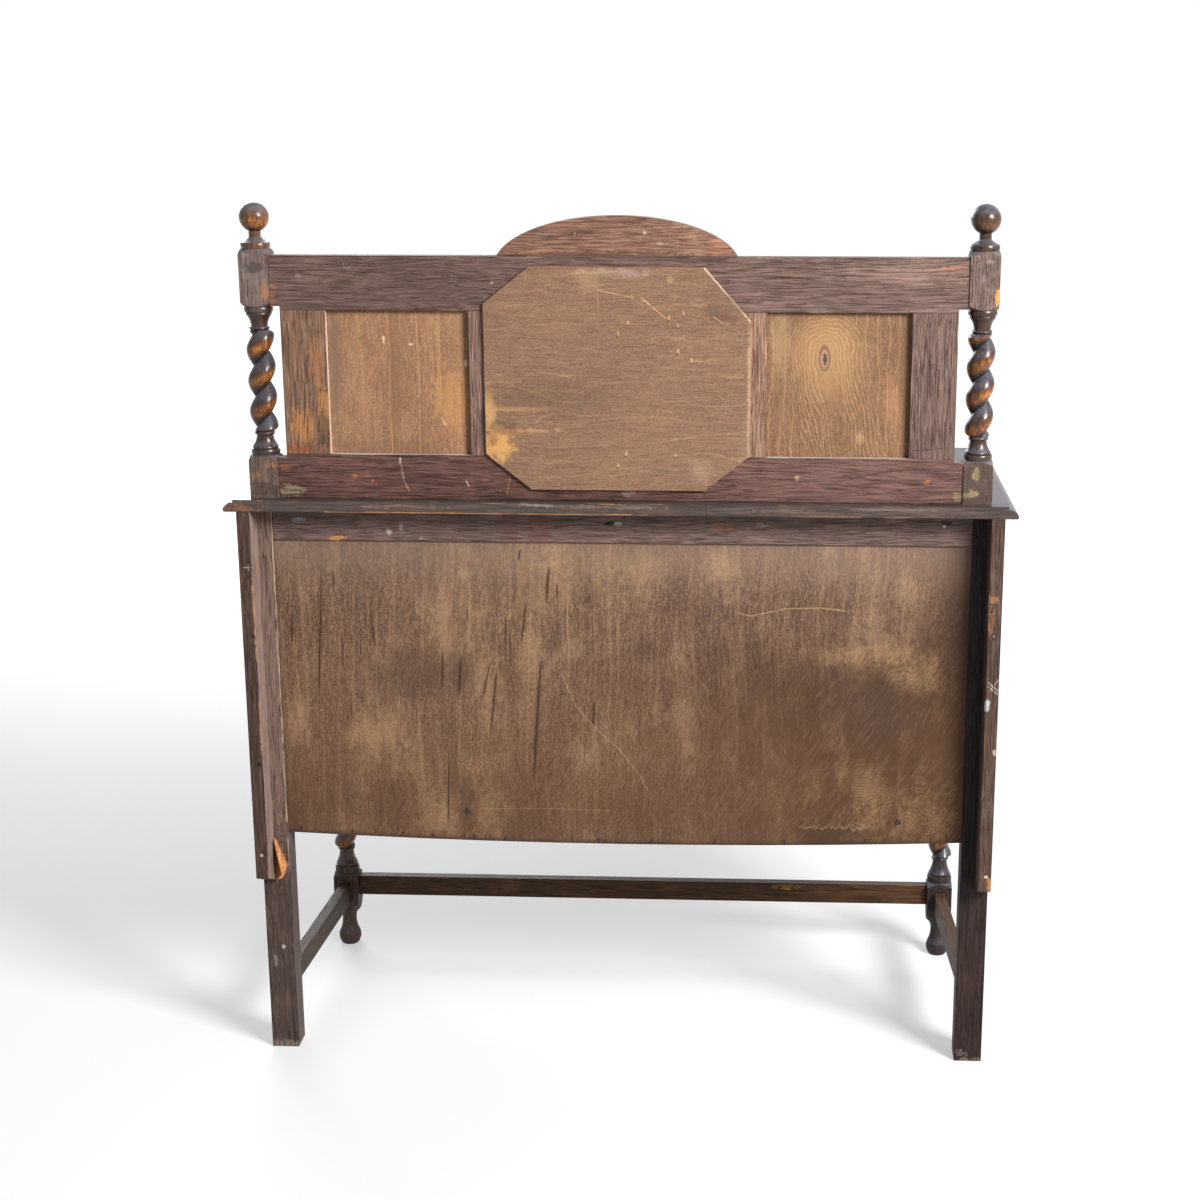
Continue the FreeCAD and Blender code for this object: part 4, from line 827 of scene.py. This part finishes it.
for seed, side in enumerate(("right", "left")):
    stile = "gallery_stile_" + side
    dress(oak("oak_" + stile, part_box(stile), "z", WARM_OAK if side == "right" else GALLERY_OAK, 44.8 + seed,
              STILE_MARKS[side]), stile)
    muntin = "gallery_muntin_" + side
    dress(oak("oak_" + muntin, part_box(muntin), "z", MUNTIN_OAK[side], 46.8 + seed), muntin)

# Gallery panels: thin birch plywood in the grooves of the frame. One has straight pale growth lines;
# the other was peeled through a knot, and its lines run round the eye.
PANEL_PLY = ("74533e", "a07757", "b98f6a")
panel_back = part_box("gallery_panel_right")[1].y
material, shader, place, cloud, colour, fibre = birch("straight_ply", "z", PANEL_PLY, 2.7)
PLAIN_MARKS = marks_on(
    panel_back,
    (0.250, 1.09, 0.030, 0.045, "c08c58", 0.5, 1.4, 1.0),
    (0.432, 1.15, 0.010, 0.110, "6e5a4c", 0.7, 1.0, 1.2),
    (0.360, 1.02, 0.070, 0.012, "6f5341", 0.4, 1.4, 1.0),
    (0.355, 1.1834, 0.002, 0.005, "d9b98c", 0.9),
    (0.314, 1.1767, 0.003, 0.002, "d9b98c", 0.8),
    (0.2308, 1.149, 0.002, 0.005, "e2cca6", 0.9),
    ([(0.270, 1.066), (0.265, 1.055)], 0.0013, "d2ac80"),
    ([(0.349, 1.23), (0.346, 1.16), (0.349, 1.09), (0.347, 1.01)], 0.0014, "c99a6a", 0.5),
    ([(0.305, 1.23), (0.302, 1.12), (0.305, 1.01)], 0.0011, "c99a6a", 0.4),
    ([(0.392, 1.22), (0.389, 1.12), (0.391, 1.02)], 0.0010, "c99a6a", 0.3),
    ([(0.272, 1.23), (0.270, 1.13), (0.273, 1.06)], 0.0010, "c99a6a", 0.3),
    (0.341, 1.12, 0.008, 0.120, "76543c", 0.5, 0.8, 1.2),
)
colour = marked(place, colour, fibre.rise(0.2, 0.5), PLAIN_MARKS)
coat(shader, Base_Color=colour, Roughness=0.55 + (fibre - 0.5) * 0.3, Normal=relief(fibre * 0.5, 0.0005))
dress(material, "gallery_panel_right")

KNOT = (-0.3117, 1.160)
material, shader, place, cloud, colour, fibre = birch("knotted_ply", "z", ("604632", "866248", "a07a5a"), 5.9)
panel_x, _, panel_z = place.axes()
drift = place.moved((0.3, 0.0, 0.6), (1.0, 1.0, 0.4)).noise(24.0, 4.0) - 0.5
FLAME = [(KNOT[0], KNOT[1] + 0.012), KNOT, (-0.338, 1.05), (-0.352, 0.98)]
RING_GAP = 0.0062
heart = reach(place, panel_back, FLAME) + drift * 0.030
near = heart.rise(0.085, 0.035) * heart.rise(0.008, 0.014)
rings = growth(heart, RING_GAP, 0.18) * near
lines = growth(panel_x + drift * 0.03, 0.016, 0.07) * heart.rise(0.04, 0.07)
colour = (heart.rise(0.07, 0.02) * panel_z.rise(1.05, 1.18) * 0.35).mix(colour, stain("b48c60"))
colour = (rings * 0.30 + lines * 0.3).mix(colour, stain("c49b6d"))
colour = (growth(heart + RING_GAP / 2, RING_GAP, 0.24) * near * 0.22).mix(colour, stain("5a412f"))
KNOT_MARKS = marks_on(
    panel_back,
    (KNOT[0] - 0.008, KNOT[1] + 0.004, 0.045, 0.055, "bb9265", 0.25, 0.8, 1.4),
    (-0.246, 1.19, 0.014, 0.045, "b0916a", 0.35, 1.0, 1.3),
    (-0.249, 1.068, 0.010, 0.024, "8a6650", 0.45, 1.2, 0.8),
    (KNOT[0], KNOT[1], 0.0085, 0.020, "6f4e3c", 0.95, 0.3, 0.3),
    (KNOT[0], KNOT[1] - 0.001, 0.0062, 0.0155, "9a7a62", 0.95, 0.3, 0.3),
    (KNOT[0] - 0.0005, KNOT[1] - 0.002, 0.0025, 0.011, "4c3428", 0.9, 0.8),
    (-0.367, 1.0394, 0.0065, 0.008, "bd9a70", 0.4, 0.8, 1.4),
    (-0.415, 1.095, 0.012, 0.030, "b88560", 0.35, 1.2, 1.3),
    # Painted shadow of the left stile along the panel's edge.
    (-0.434, 1.13, 0.012, 0.10, "6a4c36", 0.5, 0.8, 1.0),
)
colour = marked(place, colour, fibre.rise(0.1, 0.4), KNOT_MARKS)
coat(
    shader,
    Base_Color=colour,
    Roughness=0.55 + (fibre - 0.5) * 0.3,
    Normal=relief(fibre * 0.5 + rings * 0.3, 0.0005),
)
dress(material, "gallery_panel_left")

# Crest: a rounded oak board glued on the top rail, paler and redder than the frame.
# Its back is flecked with old paint, and grime has gathered along its foot.
CREST_OAK = ("593e33", "956f5e", "b38970", "cfa27c")
crest_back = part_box("crest_board")[1].y
CREST_MARKS = marks_on(
    crest_back,
    (0.112, 1.340, 0.009, 0.0028, "a89a90", 0.7, 0.6, 1.0),
    (0.062, 1.343, 0.0015, 0.003, "c9bcac", 0.9, 0.5),
    (-0.042, 1.345, 0.0028, 0.0028, "c2b5a4", 0.8, 0.6),
    (-0.065, 1.330, 0.0045, 0.003, "b09a88", 0.6, 0.6, 1.0),
    (-0.150, 1.324, 0.016, 0.010, "b67c5a", 0.5, 1.2, 1.3),
    (0.115, 1.316, 0.030, 0.004, "b5805c", 0.5, 0.6, 1.2),
    (0.05, 1.3122, 0.15, 0.004, "4a342c", 0.6, 1.0),
)
dress(oak("crest_oak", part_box("crest_board"), "x", CREST_OAK, 51.2, CREST_MARKS), "crest_board")

# Mirror: silvered glass in an oak frame on the front, wedged and closed behind by a plywood board.
# The board's grain runs across. It is scratched and nailed through, and one corner has lost its stain.
material, shader, place, cloud, colour, fibre = birch("mirror_ply", "x", ("664b3b", "8c6c56", "a07d5c"), 4.4, 0.5)
board_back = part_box("mirror_backboard")[1].y
drift = place.moved((0.9, 0.4, 0.2), (0.4, 1.0, 1.0)).noise(11.0, 5.0, 0.5) - 0.5
lines = growth(place.axes()[2] + drift * 0.12, 0.031, 0.035)
lines = lines * place.moved((0.1, 0.9, 0.5), (0.5, 1.0, 1.0)).noise(12.0, 2.0).rise(0.38, 0.56)
colour = (lines * 0.28).mix(colour, stain("c29a74"))
board_corner = Vector((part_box("mirror_backboard")[0].x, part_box("mirror_backboard")[1].z))
BARE_CUT = [board_corner + Vector((0.069, 0.0)), board_corner - Vector((0.0, 0.079))]
BOARD_MARKS = marks_on(
    board_back,
    (BARE_CUT, 0.0030, "d5bf9f", 0.9),
    (0.184, 1.026, 0.022, 0.024, "c4935a", 0.95, 2.0, 0.9),
    (0.190, 1.036, 0.006, 0.008, "7a5636", 0.7, 2.0, 1.0),
    (0.196, 1.078, 0.009, 0.028, "bd935f", 0.85, 1.8, 1.0),
    (0.150, 1.081, 0.045, 0.0035, "b98e62", 0.6, 0.9, 1.0),
    (0.150, 1.0485, 0.050, 0.003, "b98e62", 0.6, 0.9, 1.0),
    (0.10, 1.10, 0.09, 0.022, "5f4a3e", 0.45, 1.2, 1.0),
    (0.172, 1.054, 0.022, 0.010, "4f3b30", 0.5, 1.6),
    (-0.157, 1.235, 0.024, 0.024, "564438", 0.7, 1.4, 0.9),
    (-0.002, 1.286, 0.034, 0.006, "a89686", 0.45, 1.0, 1.2),
    (0.039, 1.277, 0.020, 0.016, "ab8a68", 0.4, 1.0, 1.2),
    (-0.080, 1.278, 0.004, 0.004, "ac8c6c", 0.5),
    (-0.126, 0.990, 0.016, 0.015, "a88b6e", 0.4, 1.4, 1.2),
    (-0.199, 1.09, 0.0030, 0.115, "bd9f7c", 0.6, 0.8, 1.2),
    (-0.196, 1.02, 0.010, 0.06, "8b715d", 0.35, 1.4, 1.2),
    ([(-0.0367, 1.250), (-0.0736, 1.220)], 0.0010, "cfa56e", 0.9),
    ([(0.029, 1.261), (-0.025, 1.250)], 0.0010, "c09a6c", 0.7),
    ([(-0.022, 1.256), (-0.027, 1.238)], 0.0009, "c09a6c", 0.6),
    ([(0.029, 1.255), (0.026, 1.236)], 0.0009, "bd976a", 0.5),
    ([(-0.145, 1.222), (-0.160, 1.212)], 0.0010, "c9a274", 0.7),
)
NAIL_PRICKS = [(-0.002, 1.1944), (-0.0173, 1.2103), (-0.092, 1.2066), (-0.0131, 1.0118), (-0.0878, 1.0107),
               (-0.001, 0.9943), (-0.0786, 1.2183), (-0.1005, 1.2251), (-0.0921, 1.168), (-0.1123, 1.1546)]
for x, z in NAIL_PRICKS:
    BOARD_MARKS.append(blot(x, board_back, z + 0.002, 0.0018, 0.0040, "c4966a", 0.8, 0.6))
    BOARD_MARKS.append(blot(x + 0.0012, board_back, z - 0.002, 0.0012, 0.0018, "3a281e", 0.9, 0.4))
colour = marked(place, colour, fibre.rise(0.2, 0.5) * cloud.rise(0.3, 0.5), BOARD_MARKS)
coat(
    shader,
    Base_Color=bare_edge(place, colour, "c9a47c"),
    Roughness=0.56 + (fibre - 0.5) * 0.3,
    Normal=relief(fibre * 0.5 + lines * 0.2, 0.0005),
)
dress(material, "mirror_backboard")
material, shader, place = finish("silvered_glass")
fox = place.noise(45.0, 6.0, 0.75).rise(0.66, 0.74)
coat(
    shader,
    Base_Color=fox.mix(stain("d9dddc"), stain("6d665c")),
    Metallic=1.0,
    Roughness=0.015 + fox * 0.4,
)
dress(material, "mirror_glass")
frame_oak = oak("mirror_frame_oak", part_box("mirror_frame"), "x", CASE_OAK, 55.0, (), 0.32, polish=0.15, mitre=1.0)
dress(frame_oak, "mirror_frame")

# Doors and drawers: polished oak fronts with planted mouldings, on deal drawer boxes.
# The border of each door is mitred at its corners, so its upright lengths have upright grain.
BORDER = 0.03
for seed, side in enumerate(("right", "left")):
    for shift, piece in enumerate(("door_", "door_mouldings_", "drawer_front_")):
        front = piece + side
        dress(oak("polished_oak_" + front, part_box(front), "x", CASE_OAK, 58.3 + seed * 4 + shift, (), 0.3,
                  polish=0.15, mitre=BORDER if piece == "door_mouldings_" else 0.0), front)
    drawer = "drawer_box_" + side
    dress(oak("deal_" + drawer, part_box(drawer), "y", DEAL, 71.1 + seed, (), 0.65, 0.3, 0.2), drawer)

# Handles and hinges: cast drop handles and pressed butt hinges in brass, darkened with age.
# Each handle has a plate that stays and a drop that swings on its pin.
material, shader, place = finish("old_brass")
tarnish = place.noise(160.0, 6.0, 0.7)
colour = tarnish.rise(0.4, 0.65).mix(stain("a5803f"), stain("5f4a2a"))
coat(shader, Base_Color=colour, Metallic=1.0, Roughness=0.28 + tarnish * 0.25, Normal=relief(tarnish, 0.0002))
dress(material, "case_hinges")
for side in ("right", "left"):
    dress(material, "door_hinges_" + side, "door_handle_plate_" + side, "door_handle_drop_" + side)
    dress(material, "drawer_handle_plates_" + side, "drawer_inner_drop_" + side, "drawer_outer_drop_" + side)

# Floor: a pale seamless plane under the cabinet.
# It looks white to the camera and in reflections, and keeps the shadow.
FLOOR_HALF = 14.0
mesh = bpy.data.meshes.new("floor")
shape = bmesh.new()
bmesh.ops.create_grid(shape, x_segments=1, y_segments=1, size=FLOOR_HALF)
shape.to_mesh(mesh)
shape.free()
floor = bpy.data.objects.new("floor", mesh)
bpy.context.scene.collection.objects.link(floor)


def rays(tree, *kinds):
    """1 for rays of any of the kinds, which light nothing themselves."""
    paths = Tone(tree).node("LightPath").socket.node.outputs
    first, *others = [Tone(tree, paths["Is " + kind + " Ray"]) for kind in kinds]
    for other in others:
        first = first.most(other)
    return first


material, shader, place = finish("pale_floor")
SHADE_MIDDLE, SHADE_NEAR, SHADE_FAR = (0.8, -0.4, 0.0), 1.7, 3.4
far = place.vector("SUBTRACT", SHADE_MIDDLE).vector("LENGTH", out=1).rise(SHADE_NEAR, SHADE_FAR)
glow = far.mix((0.39, 0.39, 0.39, 1.0), (1.0, 1.0, 1.0, 1.0))
coat(shader, Base_Color=(0.5, 0.5, 0.5, 1.0), Roughness=0.95, Emission_Strength=1.0)
seen = rays(material.node_tree, "Camera", "Glossy", "Transmission")
coat(shader, Emission_Color=seen.mix((0.0, 0.0, 0.0, 1.0), glow))
mesh.materials.append(material)

# Light: a large soft lamp high on the camera's right and a weak one before the cabinet's front.
# Pale air all round fills the shadows and gives the polish something to reflect.
world = bpy.data.worlds.new("air")
world.use_nodes = True
bpy.context.scene.world = world
air = rays(world.node_tree, "Glossy").mix((0.23, 0.23, 0.24, 1.0), (0.84, 0.91, 1.0, 1.0))
air = rays(world.node_tree, "Camera", "Transmission").mix(air, (1.0, 1.0, 1.0, 1.0))
world.node_tree.links.new(air.socket, world.node_tree.nodes["Background"].inputs["Color"])


def lamp(name, place, aim, size, power):
    light = bpy.data.lights.new(name, "AREA")
    light.size = size
    light.energy = power
    holder = bpy.data.objects.new(name, light)
    holder.location = place
    holder.rotation_euler = (Vector(aim) - Vector(place)).to_track_quat("-Z", "Y").to_euler()
    bpy.context.scene.collection.objects.link(holder)


lamp("window_light", (-2.8, 2.7, 2.8), (0.0, 0.1, 0.8), 1.4, 335.0)
lamp("front_light", (1.6, -3.2, 2.4), (0.0, 0.0, 0.7), 2.0, 90.0)

# Camera: at standing height behind the cabinet, a little to its left side.
# The lens is longish, and its shift sets the cabinet in the frame.
STAND = (-0.2493, 3.3653, 1.5775)
YAW = 0.0474
PITCH = -0.2605
ahead = Vector((math.sin(YAW) * math.cos(PITCH), -math.cos(YAW) * math.cos(PITCH), math.sin(PITCH)))
across = Vector((-math.cos(YAW), -math.sin(YAW), 0.0))
turned = Matrix((across, across.cross(ahead), -ahead)).transposed().to_4x4()
view = bpy.data.cameras.new("camera")
view.sensor_width = 36.0
view.lens = 62.4
view.shift_x = -0.0703
view.shift_y = 0.0207
camera = bpy.data.objects.new("camera", view)
camera.matrix_world = Matrix.Translation(STAND) @ turned
bpy.context.scene.collection.objects.link(camera)
bpy.context.scene.camera = camera
bpy.context.scene.view_settings.view_transform = "Standard"
